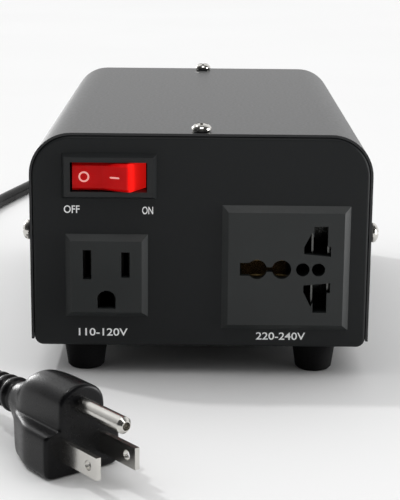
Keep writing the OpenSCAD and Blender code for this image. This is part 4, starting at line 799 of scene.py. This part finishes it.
class CONVERTER_OT_outlets(bpy.types.Operator):
    """The two outlets with their back plates and spring contacts"""

    bl_idname = "converter.outlets"
    bl_label = "Outlets"

    def execute(self, context):
        colours = context.scene.converter_finishes
        # Moulded polycarbonate: charcoal grey, satin, with a spark-eroded grain drawn at 0.45 mm to show.
        face = finish(
            "moulded_polycarbonate_outlets", colours.socket,
            patch=10, drift=0.07, grain=0.45, relief=0.015,
            rough=(0.42, 0.52), sockets={"Specular IOR Level": 0.42},
        )
        paint(face, "us_socket", "multi_socket")
        ease(0.5, "us_socket")
        ease(0.4, "multi_socket")
        # Phenolic back plates: dark grey, hard and rather dull.
        back = finish(
            "moulded_phenolic_back", linear("35383a"),
            patch=6, drift=0.1, grain=0.6, relief=0.02,
            rough=(0.5, 0.6), sockets={"IOR": 1.55},
        )
        paint(back, "us_socket_back", "multi_socket_back")
        # Half-hard brass strip: warm, bent and slightly scuffed by the dies, and darkened as painted shade
        # inside the holes.
        brass = finish(
            "brass_spring_contacts", colours.brass,
            patch=3, drift=0.12, grain=0.25, relief=0.006,
            rough=(0.18, 0.3), sockets=METAL,
        )
        paint(brass, "multi_contact_earth")
        # The same strip with a thin nickel plate, its grey darkened as painted shade inside the slots.
        nickel_painted_shade = finish(
            "nickel_plated_contacts", linear("5a5b59"),
            patch=3, drift=0.15, grain=0.25, relief=0.006,
            rough=(0.2, 0.32), sockets=METAL,
        )
        paint(nickel_painted_shade, "multi_contact_line", "multi_contact_neutral")
        # Bronze strip coloured near black: painted shade for the dark slots in front of it.
        contacts_painted_shade = finish(
            "bronze_contacts_painted_shade", linear("12110f"),
            patch=3, drift=0.15, grain=0.25, relief=0.006,
            rough=(0.35, 0.5), sockets=METAL,
        )
        paint(contacts_painted_shade, "us_contact_line", "us_contact_neutral", "us_contact_earth")
        return {"FINISHED"}


class CONVERTER_OT_rear(bpy.types.Operator):
    """Fuse holder and voltage selector on the rear panel"""

    bl_idname = "converter.rear"
    bl_label = "Rear fittings"

    def execute(self, context):
        colours = context.scene.converter_finishes
        # Phenolic moulding: black, hard and half glossy.
        holder = finish(
            "moulded_phenolic_fuse_holder", linear("141416"),
            patch=6, drift=0.12, grain=0.5, relief=0.01,
            rough=(0.26, 0.36), sockets={"IOR": 1.58},
        )
        paint(holder, "fuse_holder", "fuse_cap")
        # Tin plate on brass: pale grey and softly clouded.
        tin = finish(
            "tin_plated_brass", linear("c4c4be"),
            patch=2, drift=0.08, grain=0.25, relief=0.008,
            rough=(0.32, 0.46), sockets=METAL,
        )
        paint(tin, "fuse_terminals", "fuse_carrier", "fuse_ends", "earth_lug")
        # Drawn soda glass: clear, smooth and almost without colour.
        glass = finish(
            "soda_glass_tube", linear("eef4f2"),
            patch=4, drift=0.02, grain=1.0, relief=0.002,
            rough=(0.02, 0.06), sockets={"Transmission Weight": 1.0},
        )
        paint(glass, "fuse_glass")
        # Nylon selector housing: dark grey with a fine moulded grain, drawn at 0.4 mm to show.
        nylon = finish(
            "moulded_nylon_selector", colours.frame,
            patch=6, drift=0.08, grain=0.4, relief=0.015,
            rough=(0.4, 0.5), sockets={"IOR": 1.53},
        )
        paint(nylon, "selector_housing")
        # Acetal slider: opaque red with a slightly waxy gloss.
        slider = finish(
            "moulded_acetal_slider", linear("b3161a"),
            patch=4, drift=0.08, grain=0.5, relief=0.012,
            rough=(0.3, 0.4), sockets={"IOR": 1.48},
        )
        paint(slider, "selector_slider")
        # Rolled brass strip: a dull yellow, darkened as painted shade, with a fine rolled grain.
        brass = finish(
            "rolled_brass_terminals", colours.brass,
            patch=3, drift=0.1, grain=0.25, relief=0.006,
            rough=(0.28, 0.4), sockets=METAL,
        )
        paint(brass, "selector_terminals")
        return {"FINISHED"}


class CONVERTER_OT_transformer(bpy.types.Operator):
    """Ring transformer with its clamp and wiring"""

    bl_idname = "converter.transformer"
    bl_label = "Transformer"

    def execute(self, context):
        colours = context.scene.converter_finishes
        low, high = corners("toroid_core")
        centre = ((low[0] + high[0]) / 2, (low[1] + high[1]) / 2, 0)
        # Enamelled copper wire: warm and glossy; 150 turns show on the outside, each about 1.8 mm wide.
        copper = ringed(
            "enamelled_copper_winding", colours.copper, centre,
            spokes=150, rings=0, relief=0.5, rough=0.3, sockets={"Metallic": 0.8},
        )
        paint(copper, "winding_left", "winding_right")
        # Silicon-steel strip wound into a ring: blue grey, edges 0.3 mm thick, drawn at 1 mm to show.
        strip = ringed(
            "silicon_steel_strip", linear("7c7f82"), centre,
            spokes=0, rings=1.0, relief=0.05, rough=0.4, sockets=METAL,
        )
        paint(strip, "toroid_core")
        # Neoprene sheet: a matt black, dusted with talc in patches.
        neoprene = finish(
            "neoprene_pads", linear("1c1c1e"),
            patch=5, drift=0.15, grain=0.8, relief=0.03,
            rough=(0.65, 0.8), sockets={"IOR": 1.52},
        )
        paint(neoprene, "lower_pad", "upper_pad")
        # Zinc plate on pressed steel: grey, with a cloudy passivated bloom.
        plate = finish(
            "zinc_plated_clamp", linear("b7b9bb"),
            patch=6, drift=0.12, grain=0.4, relief=0.008,
            rough=(0.34, 0.5), sockets=METAL,
        )
        paint(plate, "dish_plate", "centre_bolt", "centre_nut")
        # PVC insulation: plain dyed plastic, a soft sheen along the wire.
        for name, code in (("mains_wires", "6d3a22"), ("switch_wires", "1a1a1c"), ("socket_wires", "2b3a8c")):
            pvc = finish(
                f"pvc_{name}", linear(code),
                patch=5, drift=0.08, grain=1.0, relief=0.01,
                rough=(0.3, 0.42), sockets={"IOR": 1.53},
            )
            paint(pvc, name)
        return {"FINISHED"}


# Legends: name and words, and in mm the place of the middle across and above the chassis's lower edge, and
# the width.
LEGENDS = (
    ("legend_off", "OFF", -42.5, 46.7, 5.2),
    ("legend_on", "ON", -17.5, 46.5, 3.6),
    ("legend_low", "110-120V", -32.4, 4.7, 16.4),
    ("legend_high", "220-240V", 27.1, 3.8, 16.5),
)
# Depth and boldness that the letters are drawn with, and in mm the ink's thickness and how far its middle
# stands out of the panel.
LETTER_DEPTH = 0.02
LETTER_BOLD = 0.012
INK_THICK = 0.08
INK_OUT = 0.03


class CONVERTER_OT_legends(bpy.types.Operator):
    """Plain printed legends on the front panel"""

    bl_idname = "converter.legends"
    bl_label = "Legends"

    def execute(self, context):
        colours = context.scene.converter_finishes
        height = context.scene.converter_sizes.legend_h
        front = corners("chassis")[0]
        # Screen-printed ink: white, matt, with the mesh's faint mottle.
        ink = finish(
            "screen_printed_ink", colours.ink,
            patch=3, drift=0.04, grain=0.25, relief=0.003,
            rough=(0.5, 0.62), sockets={"IOR": 1.5},
        )
        for name, words, x, z, width in LEGENDS:
            letters = bpy.data.curves.new(name, "FONT")
            letters.body = words
            letters.resolution_u = 6
            letters.extrude = LETTER_DEPTH
            letters.offset = LETTER_BOLD
            drawn = bpy.data.objects.new(name, letters)
            context.scene.collection.objects.link(drawn)
            context.view_layer.update()
            flat = bpy.data.meshes.new_from_object(drawn.evaluated_get(context.evaluated_depsgraph_get()))
            bpy.data.objects.remove(drawn)
            p = np.empty(len(flat.vertices) * 3)
            flat.vertices.foreach_get("co", p)
            p = p.reshape(-1, 3)
            low, high = p.min(0), p.max(0)
            p = (p - (low + high) / 2) / (high - low) * [width, height, INK_THICK]
            q = np.stack([x + p[:, 0], front[1] - INK_OUT - p[:, 2], front[2] + z + p[:, 1]], -1)
            faces = [tuple(f.vertices) for f in flat.polygons]
            bpy.data.meshes.remove(flat)
            piece(name, q, faces, ink, "case", smooth=False)
        return {"FINISHED"}


STEPS = (
    CONVERTER_OT_studio,
    CONVERTER_OT_plug,
    CONVERTER_OT_lead,
    CONVERTER_OT_case,
    CONVERTER_OT_fasteners,
    CONVERTER_OT_switch,
    CONVERTER_OT_outlets,
    CONVERTER_OT_rear,
    CONVERTER_OT_transformer,
    CONVERTER_OT_legends,
)


class CONVERTER_PT_panel(bpy.types.Panel):
    """Lists the converter's pieces in the sidebar"""

    bl_idname = "CONVERTER_PT_panel"
    bl_label = "Voltage converter"
    bl_space_type = "VIEW_3D"
    bl_region_type = "UI"
    bl_category = "Converter"

    def draw(self, context):
        for step in STEPS:
            self.layout.operator(step.bl_idname)


GROUPS = (
    ("converter_finishes", ConverterFinishes),
    ("converter_sizes", ConverterSizes),
    ("converter_studio", ConverterStudio),
)


def register():
    for name, group in GROUPS:
        bpy.utils.register_class(group)
        setattr(bpy.types.Scene, name, PointerProperty(type=group))
    for step in (*STEPS, CONVERTER_PT_panel):
        bpy.utils.register_class(step)


def unregister():
    for step in (CONVERTER_PT_panel, *reversed(STEPS)):
        bpy.utils.unregister_class(step)
    for name, group in reversed(GROUPS):
        delattr(bpy.types.Scene, name)
        bpy.utils.unregister_class(group)


def main():
    """Makes every piece in order."""
    register()
    bpy.ops.converter.studio()
    bpy.ops.converter.plug()
    bpy.ops.converter.lead()
    bpy.ops.converter.case()
    bpy.ops.converter.fasteners()
    bpy.ops.converter.switch()
    bpy.ops.converter.outlets()
    bpy.ops.converter.rear()
    bpy.ops.converter.transformer()
    bpy.ops.converter.legends()


if __name__ == "__main__":
    main()
